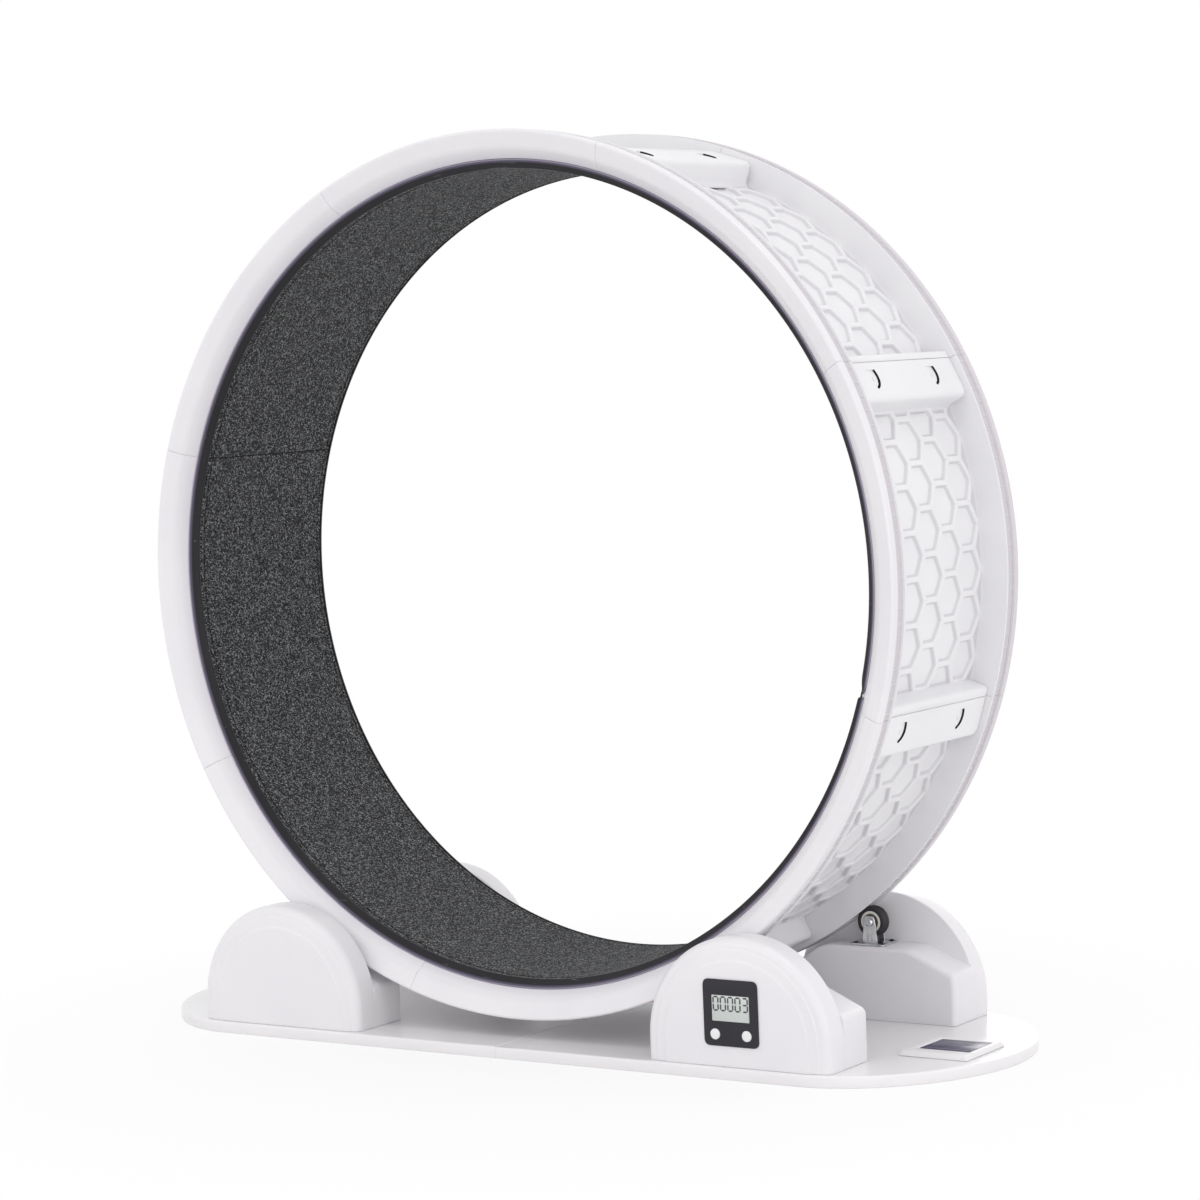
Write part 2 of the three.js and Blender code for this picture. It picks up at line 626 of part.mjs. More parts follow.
const tyre = turnedPiece(tyrePoints, SIDES);

for (const [corner, sideX, sideY] of CORNERS) {
  const withCounter = corner === 'front_right';
  const shell = withCounter ? housingShell.subtract(solid(cutout)) : housingShell;
  add(`housing_${corner}`, cornered(shell, sideX, sideY), COVER_WHITE);
  add(`roller_bracket_${corner}`, cornered(bracket, sideX, sideY), ZINC);
  add(`roller_axle_${corner}`, cornered(axle, sideX, sideY), ZINC);
  add(`roller_hub_${corner}`, cornered(hub, sideX, sideY), HUB_PLASTIC);
  add(`roller_tyre_${corner}`, cornered(tyre, sideX, sideY), BLACK_RUBBER);
}

// ---- Counter on the front right housing ----------------------------------------------------
// Made with its face towards +Y and mirrored to the front.
function roundedRect(width, height, corner) {
  const shape = new THREE.Shape();
  const right = COUNTER_X + width / 2;
  const left = COUNTER_X - width / 2;
  const top = COUNTER_Z + height / 2;
  const bottom = COUNTER_Z - height / 2;
  shape.moveTo(left + corner, bottom);
  shape.absarc(right - corner, bottom + corner, corner, -Math.PI / 2, 0, false);
  shape.absarc(right - corner, top - corner, corner, 0, Math.PI / 2, false);
  shape.absarc(left + corner, top - corner, corner, Math.PI / 2, Math.PI, false);
  shape.absarc(left + corner, bottom + corner, corner, Math.PI, Math.PI * 1.5, false);
  return shape;
}

const bezelBack = HOUSING_OUTER_Y + GAP;
const bezelFace = bezelBack + BEZEL_THICKNESS;
const plateBack = bezelBack - BEZEL_THICKNESS;
const caseBack = bezelBack - CASE_DEPTH;
const displayZ = COUNTER_Z + DISPLAY_RISE;
const buttonZ = COUNTER_Z - BUTTON_DROP;
const span = (centre, size, inset = 0) => [centre - size / 2 + inset, centre + size / 2 - inset];

function upright(width, height, z, yLow, yHigh, inset = 0) {
  const [x0, x1] = span(COUNTER_X, width, inset);
  const [z0, z1] = span(z, height, inset);
  return solid(block([x0, yLow, z0], [x1, yHigh, z1]));
}

function counterCase() {
  const bezel = roundedRect(BEZEL_WIDTH, BEZEL_HEIGHT, BEZEL_CORNER);
  let body = solid(extrudeY(bezel, bezelBack, bezelFace, { curveSegments: 5 }));
  body = body.add(upright(CASE_WIDTH, CASE_HEIGHT, COUNTER_Z, caseBack, bezelBack + BEZEL_THICKNESS / 2));
  body = body.subtract(upright(CASE_WIDTH, CASE_HEIGHT, COUNTER_Z, caseBack - 1, plateBack, CASE_WALL));
  body = body.subtract(upright(DISPLAY_WIDTH, DISPLAY_HEIGHT, displayZ, caseBack, bezelFace + 1));
  for (const side of [-1, 1]) {
    const radius = around(BUTTON_RADIUS + PRESS_GAP, 24);
    const hole = rodY(radius, plateBack - 1, bezelFace + 1, COUNTER_X + side * BUTTON_SPREAD, buttonZ);
    body = body.subtract(solid(hole));
  }
  return body;
}

function counterButton(side) {
  const x = COUNTER_X + side * BUTTON_SPREAD;
  const collarFace = plateBack - 0.6;
  const cap = solid(rodY(BUTTON_RADIUS, collarFace - BUTTON_COLLAR / 2, bezelFace + BUTTON_PROUD, x, buttonZ));
  const collar = rodY(BUTTON_RADIUS + BUTTON_COLLAR, collarFace - BUTTON_COLLAR, collarFace, x, buttonZ);
  return cap.add(solid(collar));
}

const displayBody = upright(DISPLAY_WIDTH, DISPLAY_HEIGHT, displayZ, plateBack - 1, bezelFace - 0.4, GAP);
const boardBack = caseBack + 1.5;
const boardFace = boardBack + BOARD_THICKNESS;
const boardBody = upright(CASE_WIDTH, CASE_HEIGHT, COUNTER_Z, boardBack, boardFace, CASE_WALL + GAP);
add('counter_case', cornered(counterCase(), 1, -1), CASE_BLACK);
add('counter_display', cornered(displayBody, 1, -1), DISPLAY_GREY);
add('counter_board', cornered(boardBody, 1, -1), BOARD_GREEN);
add('counter_button_left', cornered(counterButton(-1), 1, -1), BUTTON_WHITE);
add('counter_button_right', cornered(counterButton(1), 1, -1), BUTTON_WHITE);
const sensorFace = HOUSING_INNER_Y + HOUSING_WALL + GAP;
const [sensorLength, sensorDepth, sensorHeight] = SENSOR_SIZE;
const sensorBody = block(
  [SENSOR_X - sensorLength / 2, -sensorFace - sensorDepth, SENSOR_Z - sensorHeight / 2],
  [SENSOR_X + sensorLength / 2, -sensorFace, SENSOR_Z + sensorHeight / 2],
);
add('counter_sensor', sensorBody, CASE_BLACK);

// ---- Solar panel on the base ----------------------------------------------------------------
function solarFrame() {
  const foot = BASE_TOP + GAP;
  const top = BASE_TOP + SOLAR_HEIGHT;
  const shape = new THREE.Shape();
  const halfLength = SOLAR_LENGTH / 2 - SOLAR_SLOPE;
  const halfDepth = SOLAR_DEPTH / 2 - SOLAR_SLOPE;
  drawPolygon(shape, [
    [SOLAR_X - halfLength, SOLAR_Y - halfDepth],
    [SOLAR_X + halfLength, SOLAR_Y - halfDepth],
    [SOLAR_X + halfLength, SOLAR_Y + halfDepth],
    [SOLAR_X - halfLength, SOLAR_Y + halfDepth],
  ]);
  const rise = SOLAR_HEIGHT - 2;
  const bevel = { bevelEnabled: true, bevelThickness: rise, bevelSize: SOLAR_SLOPE, bevelSegments: 1 };
  const raised = new THREE.ExtrudeGeometry(shape, { depth: 2, ...bevel }).translate(0, 0, top - rise - 2);
  const low = [SOLAR_X - SOLAR_LENGTH, SOLAR_Y - SOLAR_DEPTH, foot];
  const keep = block(low, [SOLAR_X + SOLAR_LENGTH, SOLAR_Y + SOLAR_DEPTH, top + 1]);
  const pocketFloor = top - CELL_SUNK - CELL_THICKNESS - GAP;
  const [x0, x1] = span(SOLAR_X + 3, CELL_LENGTH);
  const [y0, y1] = span(SOLAR_Y + 3, CELL_DEPTH);
  const pocket = block([x0, y0, pocketFloor], [x1, y1, top + 1]);
  const cell = block([x0 + GAP, y0 + GAP, pocketFloor + GAP], [x1 - GAP, y1 - GAP, top - CELL_SUNK]);
  const frame = solid(raised).intersect(solid(keep)).subtract(solid(pocket));
  return [geometryOf(frame), cell];
}
const [frameGeometry, cellGeometry] = solarFrame();
add('solar_frame', frameGeometry, BASE_WHITE);
add('solar_cell', cellGeometry, CELL_GLASS);

export default model;
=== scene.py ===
import math

import bmesh
import bpy
import numpy as np
from mathutils import Matrix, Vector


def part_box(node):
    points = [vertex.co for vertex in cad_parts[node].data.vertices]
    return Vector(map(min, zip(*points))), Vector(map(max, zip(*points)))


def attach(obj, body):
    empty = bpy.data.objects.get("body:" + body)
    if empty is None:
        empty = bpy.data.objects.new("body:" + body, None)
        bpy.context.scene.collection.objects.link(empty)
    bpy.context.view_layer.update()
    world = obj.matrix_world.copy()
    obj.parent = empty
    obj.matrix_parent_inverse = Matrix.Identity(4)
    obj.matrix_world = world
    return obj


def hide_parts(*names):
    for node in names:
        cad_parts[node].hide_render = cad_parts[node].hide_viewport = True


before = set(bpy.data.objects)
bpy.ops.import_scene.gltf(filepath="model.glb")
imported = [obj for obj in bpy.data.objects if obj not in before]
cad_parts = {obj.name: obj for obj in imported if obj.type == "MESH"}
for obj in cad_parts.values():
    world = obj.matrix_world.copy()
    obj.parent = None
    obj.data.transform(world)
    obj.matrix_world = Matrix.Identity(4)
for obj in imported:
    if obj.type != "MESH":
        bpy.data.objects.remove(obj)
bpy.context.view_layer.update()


# ---- Base plate ----
# Two injection-moulded halves of satin white plastic, butted at the middle of the wheel and
# locked by a tongue underneath. The top edge is softly rounded, the underside is flat.
MM = 0.001


def tone(code):
    """Linear colour of a written one: each channel c goes to ((c + 0.055) / 1.055) ** 2.4."""
    channels = [int(code[i : i + 2], 16) / 255 for i in (1, 3, 5)]
    linear = [c / 12.92 if c <= 0.04045 else ((c + 0.055) / 1.055) ** 2.4 for c in channels]
    return (*linear, 1)


def box_mm(node):
    """Lowest and highest corner of a CAD node, in millimetres."""
    low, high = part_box(node)
    return np.array(low) / MM, np.array(high) / MM


def rounded(corners, trims, steps=7):
    """Closed outline with eased corners: each corner P becomes the blend
    (1-t)^2 A + 2t(1-t) P + t^2 B, where A and B lie `trim` before and after it."""
    corner = np.array(corners, float)[:, None]
    trim = np.broadcast_to(np.array(trims, float), len(corners))[:, None, None]
    before = np.roll(corner, 1, 0) - corner
    after = np.roll(corner, -1, 0) - corner
    start = corner + before / np.linalg.norm(before, axis=-1, keepdims=True) * trim
    end = corner + after / np.linalg.norm(after, axis=-1, keepdims=True) * trim
    t = np.linspace(0, 1, steps)[None, :, None]
    return ((1 - t) ** 2 * start + 2 * t * (1 - t) * corner + t**2 * end).reshape(-1, 2)


def at_level(outline, level, axis=1):
    """Flat outline set at a level along an axis: y, unless another is named."""
    return np.insert(outline, axis, level, axis=1)


def grid_faces(rows, columns, close_rows=False, close_columns=False):
    """Quads between neighbours of a grid of points that is numbered row by row."""
    row = np.arange(rows - (not close_rows))[:, None]
    column = np.arange(columns - (not close_columns))[None, :]
    next_row, next_column = (row + 1) % rows, (column + 1) % columns
    corners = [row * columns + column, row * columns + next_column]
    corners += [next_row * columns + next_column, next_row * columns + column]
    return np.stack(np.broadcast_arrays(*corners), -1).reshape(-1, 4).tolist()


def stacked(*shells):
    """Several closed shells, each (points, faces), as one list of points and one of faces."""
    points, faces, count = [], [], 0
    for shell_points, shell_faces in shells:
        flat = np.asarray(shell_points, float).reshape(-1, 3)
        points.append(flat)
        faces += [[index + count for index in face] for face in shell_faces]
        count += len(flat)
    return np.concatenate(points), faces


def closed_stack(rings):
    """Closed shell from rings of points: neighbours are joined, the first and last are filled."""
    rings = np.asarray(rings, float)
    rows, columns = rings.shape[:2]
    faces = grid_faces(rows, columns, close_columns=True)
    faces.append(list(range(columns)))
    faces.append(list(range((rows - 1) * columns, rows * columns)))
    return rings, faces


def tidy_mesh(name, points, faces, crease, shades=None, sheet=None):
    """Mesh in metres with doubled points merged, faces turned outwards, and smooth shading but
    for edges that bend by more than `crease` degrees. `shades` gives each face its material, and
    `sheet` is an open surface, added as it is because its way out can't be told from its shape."""
    mesh = bpy.data.meshes.new(name)
    mesh.from_pydata((np.asarray(points).reshape(-1, 3) * MM).tolist(), [], faces)
    if shades is not None:
        mesh.polygons.foreach_set("material_index", np.array(shades, np.int32))
    shape = bmesh.new()
    shape.from_mesh(mesh)
    bmesh.ops.remove_doubles(shape, verts=shape.verts, dist=0.003 * MM)
    bmesh.ops.recalc_face_normals(shape, faces=shape.faces)
    if sheet is not None:
        open_mesh = bpy.data.meshes.new("open")
        open_mesh.from_pydata((np.asarray(sheet[0]).reshape(-1, 3) * MM).tolist(), [], sheet[1])
        before = set(shape.verts)
        shape.from_mesh(open_mesh)
        added = [vertex for vertex in shape.verts if vertex not in before]
        bmesh.ops.remove_doubles(shape, verts=added, dist=0.01 * MM)
        bpy.data.meshes.remove(open_mesh)
    shape.to_mesh(mesh)
    shape.free()
    mesh.shade_smooth()
    mesh.set_sharp_from_angle(angle=math.radians(crease))
    return mesh


def new_object(name, data):
    """An object linked to the scene."""
    made = bpy.data.objects.new(name, data)
    bpy.context.scene.collection.objects.link(made)
    return made


def place_piece(name, mesh, materials, body, nodes=()):
    """A finished piece that rides on a body and stands for the CAD nodes named."""
    piece = new_object(name, mesh)
    for material in materials:
        piece.data.materials.append(material)
    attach(piece, body)
    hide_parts(*nodes)
    return piece


def add_piece(name, shells, material, body, nodes=(), crease=40, mirror=(1, 1, 1)):
    """A piece in one material, made of closed shells."""
    points, faces = stacked(*shells)
    mesh = tidy_mesh(name, points * mirror, faces, crease)
    return place_piece(name, mesh, (material,), body, nodes)


def node_group(name, inputs, outputs):
    """Node group with its sockets, each (name, kind) or (name, kind, value), and its two ends."""
    tree = bpy.data.node_groups.new(name, "ShaderNodeTree")
    for way, sockets in (("INPUT", inputs), ("OUTPUT", outputs)):
        for label, kind, *value in sockets:
            kind = "NodeSocket" + kind
            made = tree.interface.new_socket(name=label, in_out=way, socket_type=kind)
            if value:
                made.default_value = value[0]
    ends = [tree.nodes.new("NodeGroup" + end) for end in ("Input", "Output")]
    return tree, ends[0].outputs, ends[1].inputs


def feed(target, value):
    """Gives a socket a number, a written colour, or what another socket puts out."""
    if hasattr(value, "is_output"):
        value.id_data.links.new(value, target)
    else:
        target.default_value = tone(value) if isinstance(value, str) else value


def plug(inputs, **values):
    """Feeds sockets by name."""
    for key, value in values.items():
        feed(inputs[key.replace("_", " ")], value)


def surface(**values):
    """Feeds the shader of the material that the values come from."""
    tree = next(iter(values.values())).id_data
    plug(tree.nodes["Principled BSDF"].inputs, **values)


def fed(kind, vector, group=None, **values):
    """A node or node group fed with a vector and other values; returns its outputs."""
    node = vector.id_data.nodes.new("ShaderNode" + kind)
    if group:
        node.node_tree = group
    plug(node.inputs, Vector=vector, **values)
    return node.outputs


def maths(operation, *values, clamp=False):
    """A Math node fed with numbers and sockets."""
    tree = next(value for value in values if hasattr(value, "is_output")).id_data
    node = tree.nodes.new("ShaderNodeMath")
    node.operation, node.use_clamp = operation, clamp
    for slot, value in enumerate(values):
        feed(node.inputs[slot], value)
    return node.outputs[0]


def noise(vector, scale, detail=2, rough=0.5):
    """Fractal noise with `scale` waves a metre."""
    return fed("TexNoise", vector, Scale=scale, Detail=detail, Roughness=rough)["Fac"]


def mixed(factor, first, second):
    """Colour between two others."""
    node = factor.id_data.nodes.new("ShaderNodeMix")
    node.data_type = "RGBA"
    for slot, value in ((0, factor), (6, first), (7, second)):
        feed(node.inputs[slot], value)
    return node.outputs[2]


# Skin of a moulded part: a fine spark-eroded grain, faint cloudy tone where the melt cooled
# unevenly, and thin scuffs from handling that lighten and roughen it.
moulded_skin, skin_in, skin_out = node_group(
    "moulded_skin",
    [("Vector", "Vector"), ("Tone", "Color"), ("Cloud", "Color"), ("Grain Scale", "Float", 900),
     ("Roughness", "Float", 0.4), ("Scuffs", "Float", 0.3)],
    [("Color", "Color"), ("Roughness", "Float"), ("Height", "Float")])
cloud = noise(skin_in["Vector"], 7, 3)
cloud = maths("MULTIPLY_ADD", cloud, 2.4, -0.7, clamp=True)
streaks = fed("Mapping", skin_in["Vector"], Rotation=(0.5, 0.9, 0.4), Scale=(1, 14, 9))
scuff = noise(streaks[0], 22, 4, 0.65)
scuff = maths("MULTIPLY_ADD", scuff, 9, -5.9, clamp=True)
scuff = maths("MULTIPLY", scuff, skin_in["Scuffs"])
grain = fed("TexNoise", skin_in["Vector"], Scale=skin_in["Grain Scale"], Detail=1)
skin_color = mixed(cloud, skin_in["Tone"], skin_in["Cloud"])
skin_color = mixed(maths("MULTIPLY", scuff, 0.25), skin_color, "#FFFFFF")
skin_rough = maths("MULTIPLY_ADD", cloud, 0.06, skin_in["Roughness"])
skin_rough = maths("MULTIPLY_ADD", scuff, 0.25, skin_rough)
skin_height = maths("MULTIPLY_ADD", scuff, -0.6, grain["Fac"])
plug(skin_out, Color=skin_color, Roughness=skin_rough, Height=skin_height)


def new_material(name, **values):
    """Material with its plain sockets set; returns it and its Object coordinates."""
    material = bpy.data.materials.new(name)
    material.use_nodes = True
    nodes = material.node_tree.nodes
    plug(nodes["Principled BSDF"].inputs, **values)
    return material, nodes.new("ShaderNodeTexCoord").outputs["Object"]


def bump(height, strength, distance):
    """Lifts a material's surface by a height, in a distance in metres."""
    node = height.id_data.nodes.new("ShaderNodeBump")
    plug(node.inputs, Height=height, Strength=strength, Distance=distance)
    surface(Normal=node.outputs[0])


def moulded(name, color, cloud_color, rough, grain=900, scuffs=0.3, depth=0.00002, **values):
    """Moulded plastic in a colour, with its grain, clouds and scuffs."""
    material, where = new_material(name, **values)
    skin = fed("Group", where, moulded_skin, Tone=color, Cloud=cloud_color, Grain_Scale=grain,
               Roughness=rough, Scuffs=scuffs)
    surface(Base_Color=skin["Color"], Roughness=skin["Roughness"])
    bump(skin["Height"], 0.35, depth)
    return material


base_white = moulded("base_white", "#EEECEE", "#E9E7E9", 0.2, scuffs=0.4, depth=0.00001,
                     Specular_IOR_Level=0.3)
BASE_GAP = 0.3  # between the halves
SEAM_CHAMFER = 0.35  # of the rim's inset
BASE_END = 163  # length of each curved end
BASE_POWER = 1.9  # superellipse power of the ends
base_high = box_mm("base_plate_right")[1]
base_half = base_high[1]
base_straight = base_high[0] - BASE_END


def base_outline(inset):
    """Half plate seen from above: the end is |x/a|^p + |y/b|^p = 1, with a and b less `inset`,
    and the sides run straight to the seam."""
    angle = np.linspace(-math.pi / 2, math.pi / 2, 81)
    power = 2 / BASE_POWER
    x = base_straight + (BASE_END - inset) * np.abs(np.cos(angle)) ** power
    y = (base_half - inset) * np.sign(np.sin(angle)) * np.abs(np.sin(angle)) ** power
    seam = BASE_GAP / 2 + SEAM_CHAMFER * inset
    straight = np.linspace(seam, base_straight, 12, endpoint=False)
    x = np.concatenate([straight, x, straight[::-1]])
    edge = np.full(len(straight), base_half - inset)
    return np.stack([x, np.concatenate([-edge, y, edge])], -1)


# Section of the rim, as inset from the outline and height: foot, side, eased upper edge, top.
base_rim = [(0.8, 0), (0.3, 0.5), (0, 1.2), (0, 10.8), (0.2, 11.7), (0.65, 12.4)]
base_rim += [(1.3, 12.8), (2.2, 13), (6, 13)]
base_shell = closed_stack([at_level(base_outline(inset), z, 2) for inset, z in base_rim])
for side, part in ((1, "right"), (-1, "left")):
    add_piece(f"base_half_{part}", [base_shell], base_white, "stand",
              [f"base_plate_{part}"], mirror=(side, 1, 1))


# ---- Roller housings ----
# Four hollow white mouldings screwed to the base: a half-round plate with a rolled edge and two
# terraces on its face, and behind it the shelf that carries a roller. Made for the rear right
# corner and mirrored to the others.
cover_white = moulded("cover_white", "#EBE9EC", "#E6E4E8", 0.3, grain=1100, scuffs=0.35)
housing_low, housing_high = box_mm("housing_rear_right")
PLATE_RADIUS = (housing_high[0] - housing_low[0]) / 2
PLATE_X = (housing_high[0] + housing_low[0]) / 2
PLATE_ARC_Z = housing_high[2] - PLATE_RADIUS
PLATE_DEPTH = 37
PLATE_BACK = housing_high[1] - PLATE_DEPTH
SHELF_TOP = 96
SHELF_HALF = 56  # half the length of its flat top
SHELF_SHOULDERS = 60, 70  # heights where its left and right slopes start
SHELF_EASE = 5.5  # radius of its outer edge
housing_foot = housing_low[2]


def plate_ring(inset, depth):
    """Outline of the plate less `inset`: a half circle on two straight legs, at y = depth."""
    angle = np.linspace(0, math.pi, 61)
    radius = PLATE_RADIUS - inset
    leg = np.linspace(housing_foot, PLATE_ARC_Z, 9, endpoint=False)
    foot = np.linspace(-radius, radius, 25)[1:-1]
    side = np.full(len(leg), radius)
    x = np.concatenate([side, radius * np.cos(angle), -side, foot])
    arc = PLATE_ARC_Z + radius * np.sin(angle)
    z = np.concatenate([leg, arc, leg[::-1], np.full(len(foot), housing_foot)])
    return np.stack([PLATE_X + x, np.full(x.shape, float(depth)), z], -1)


def shelf_ring(inset, depth):
    """Outline of the shelf less `inset`: flat top between two slopes, eased corners."""
    left, right = housing_low[0] + inset, housing_high[0] - inset
    left_slope, right_slope = SHELF_SHOULDERS
    corners = [(left, housing_foot), (right, housing_foot), (right, right_slope - inset)]
    corners += [(PLATE_X + SHELF_HALF, SHELF_TOP - inset)]
    corners += [(PLATE_X - SHELF_HALF, SHELF_TOP - inset), (left, left_slope - inset)]
    return at_level(rounded(corners, [0.5, 0.5, 6, 10, 10, 6], 9), depth)


# Section of the plate's rim, as inset and y: back edge, side, rolled edge and the two terraces.
plate_rim = [(1.6, 0), (0.7, 0.25), (0, 1.3)]
plate_rim += [(9.5 - 9.5 * math.cos(a), 24.6 + 9.4 * math.sin(a))
              for a in np.linspace(0, math.pi / 2, 9)]
plate_rim += [(11.2, 34.05), (11.8, 34.2), (12.4, 34.8), (13.2, 35.35), (14.4, 35.55)]
plate_rim += [(22.6, 35.7), (23.4, 35.85), (24.1, 36.4), (25, 36.85), (26.4, 37), (60, 37)]
shelf_depth = [(SHELF_EASE - SHELF_EASE * math.sin(a),
                housing_low[1] + SHELF_EASE - SHELF_EASE * math.cos(a))
               for a in np.linspace(0, math.pi / 2, 8)]
shelf_depth.append((0, PLATE_BACK + 1.5))
housing = [closed_stack([plate_ring(inset, PLATE_BACK + y) for inset, y in plate_rim]),
           closed_stack([shelf_ring(inset, y) for inset, y in shelf_depth])]
corner_sides = {"rear_right": (1, 1, 1), "rear_left": (-1, 1, 1),
                "front_right": (1, -1, 1), "front_left": (-1, -1, 1)}
for corner, mirror in corner_sides.items():
    add_piece(f"housing_shell_{corner}", housing, cover_white, "stand",
              [f"housing_{corner}"], 32, mirror)


# ---- Roller brackets, axles, hubs and tyres ----
# A fork of pressed, zinc-plated steel on a plate with four slotted holes, a riveted axle, a cream
# plastic hub with a steel bearing ring, and a black rubber tyre with a fine tread.
zinc, zinc_where = new_material("zinc", Metallic=1)
brushed = noise(fed("Mapping", zinc_where, Scale=(1, 1, 0.12))[0], 700, 3, 0.6)
spangle = noise(zinc_where, 160)
surface(Base_Color=mixed(spangle, "#BDBFC2", "#E6E7E8"),
        Roughness=maths("MULTIPLY_ADD", brushed, 0.22, 0.14))
bump(brushed, 0.25, 0.00005)
screw_steel = moulded("screw_steel", "#3B3A3D", "#4A484B", 0.4, grain=1500, Metallic=0.8)
hub_cream = moulded("hub_cream", "#DDDAD3", "#D2CEC6", 0.45, grain=1500)
bearing_steel = moulded("bearing_steel", "#8A807A", "#6F6661", 0.35, grain=1800, Metallic=0.6)
tyre_rubber = moulded("tyre_rubber", "#232226", "#2D2B30", 0.55, grain=1600, scuffs=0.6,
                      depth=0.00005)
ROLLER = sum(box_mm("roller_hub_rear_right")) / 2
BRACKET_FOOT = box_mm("roller_bracket_rear_right")[0][2]


def turned(section, sides=64, middle=ROLLER, solid=False):
    """Lathe shell about an axis along y, from a (radius, y) section: closed, or for a solid one
    that starts and ends on the axis."""
    angle = np.linspace(0, 2 * math.pi, sides, endpoint=False)[:, None]
    radius, y = np.array(section, float).T
    y = np.broadcast_to(y, (sides, len(y)))
    grid = np.stack([radius * np.cos(angle), y, radius * np.sin(angle)], -1)
    return grid + middle, grid_faces(*grid.shape[:2], close_rows=True, close_columns=not solid)


def slab(outline, low, high, axis=1, ease=0.4):
    """Closed shell of a flat outline between two levels along an axis, with eased edges."""
    centre = outline.mean(0)
    span = np.maximum(np.ptp(outline, axis=0), 1e-6)
    shrunk = centre + (outline - centre) * (1 - 2 * ease / span)
    levels = [(shrunk, low), (outline, low + ease), (outline, high - ease), (shrunk, high)]
    return closed_stack([at_level(ring, level, axis) for ring, level in levels])


def oblong(half_x, half_y, trim, steps=6):
    """Rectangle about the origin with eased corners."""
    corners = [(-half_x, -half_y), (half_x, -half_y), (half_x, half_y), (-half_x, half_y)]
    return rounded(corners, trim, steps)


tread = [(17.5 - 0.35 * (i % 2), -5 + i * 10 / 16) for i in range(17)]
tyre_section = [(11.3, -6.1), (12, -6.5), (15.6, -6.5), (16.9, -6.1), (17.4, -5.5), *tread]
tyre_section += [(17.4, 5.5), (16.9, 6.1), (15.6, 6.5), (12, 6.5), (11.3, 6.1)]
hub_section = [(3.4, -4.2), (5.5, -4.2), (5.5, -5), (9.3, -5), (9.4, -6.3), (9.8, -6.7)]
hub_section += [(11.7, -6.75), (12.4, -6.5), (12.4, -5.9), (11, -5.8)]
hub_section += [(radius, -y) for radius, y in hub_section[::-1]]
bearing_section = [(3.4, -5.3), (6, -5.3), (6.5, -5.7), (8.9, -5.7), (9.2, -5.3), (9.2, -4)]
bearing_section.append((3.4, -4))
axle_section = [(0, -13.3), (2.4, -13.3), (3.7, -12.9), (4.7, -12.1), (4.9, -10.4), (3, -10.3)]
axle_section += [(radius, -y) for radius, y in axle_section[::-1]]
fork_corners = [(-9.6, 0), (9.6, 0), (8.9, 8), (7.9, 22), (5.9, 32.2), (0, 33.8), (-5.9, 32.2)]
fork_corners += [(-7.9, 22), (-8.9, 8)]
fork_outline = rounded(fork_corners, [0.5, 0.5, 3, 5, 3.4, 2.5, 3.4, 5, 3], 6)
fork_outline += (ROLLER[0], BRACKET_FOOT)
fork_outline[:, 1] = np.minimum(fork_outline[:, 1], ROLLER[2] + 7)
fork = []
for side in (-1, 1):
    near, far = sorted((side * 8, side * 10))
    fork.append(slab(fork_outline, ROLLER[1] + near, ROLLER[1] + far))
    for rib in (-2.6, 2.6):
        ridge = rounded([(-0.9, 4), (0.9, 4), (0.9, 19), (-0.9, 19)], 0.85, 5)
        ridge += (ROLLER[0] + rib, BRACKET_FOOT)
        centre = ridge.mean(0)
        fork.append(closed_stack([at_level(centre + (ridge - centre) * k, ROLLER[1] + side * y)
                                  for k, y in ((1, 9), (1, 10.1), (0.75, 10.5))]))
    heel = np.array([(0, 0), (0, 3), (0.6, 1.2), (1.6, 0.4), (3.2, 0)]) * (side, 1)
    heel += (ROLLER[1] + side * 9.9, BRACKET_FOOT + 1.9)
    fork.append(closed_stack([at_level(heel, ROLLER[0] + x, 0) for x in (-8.6, 8.6)]))
fork.append(slab(oblong(22, 19, 4.5) + ROLLER[:2], BRACKET_FOOT, BRACKET_FOOT + 2, axis=2))
screws = []
for place in ((-16, -13), (16, -13), (-16, 13), (16, 13)):
    place = ROLLER[:2] + place
    for outline, low, high, ease in ((oblong(4.4, 2.6, 2.5), 1.6, 2.15, 0.1),
                                     (oblong(2.3, 2.3, 2.2), 1.9, 3.3, 0.5)):
        screws.append(slab(outline + place, BRACKET_FOOT + low, BRACKET_FOOT + high, 2, ease))
bearing = [turned([(radius, side * y) for radius, y in bearing_section]) for side in (-1, 1)]
for corner, mirror in corner_sides.items():
    wheel = f"roller_{corner}"
    for name, shells, material, body, slot, node, crease in (
        ("fork", fork, zinc, "stand", "bracket_steel", "roller_bracket", 40),
        ("plate_screws", screws, screw_steel, "stand", "bracket_steel", None, 40),
        ("axle", [turned(axle_section, 48, solid=True)], zinc, "stand", "bracket_steel",
         "roller_axle", 40),
        ("hub", [turned(hub_section)], hub_cream, wheel, "hub_plastic", "roller_hub", 40),
        ("bearing", bearing, bearing_steel, wheel, "bracket_steel", None, 40),
        ("tyre", [turned(tyre_section, 72)], tyre_rubber, wheel, "tyre_rubber", "roller_tyre", 50),
    ):
        nodes = [f"{node}_{corner}"] if node else []
        add_piece(f"{name}_{corner}", shells, material, body, nodes, crease, mirror)


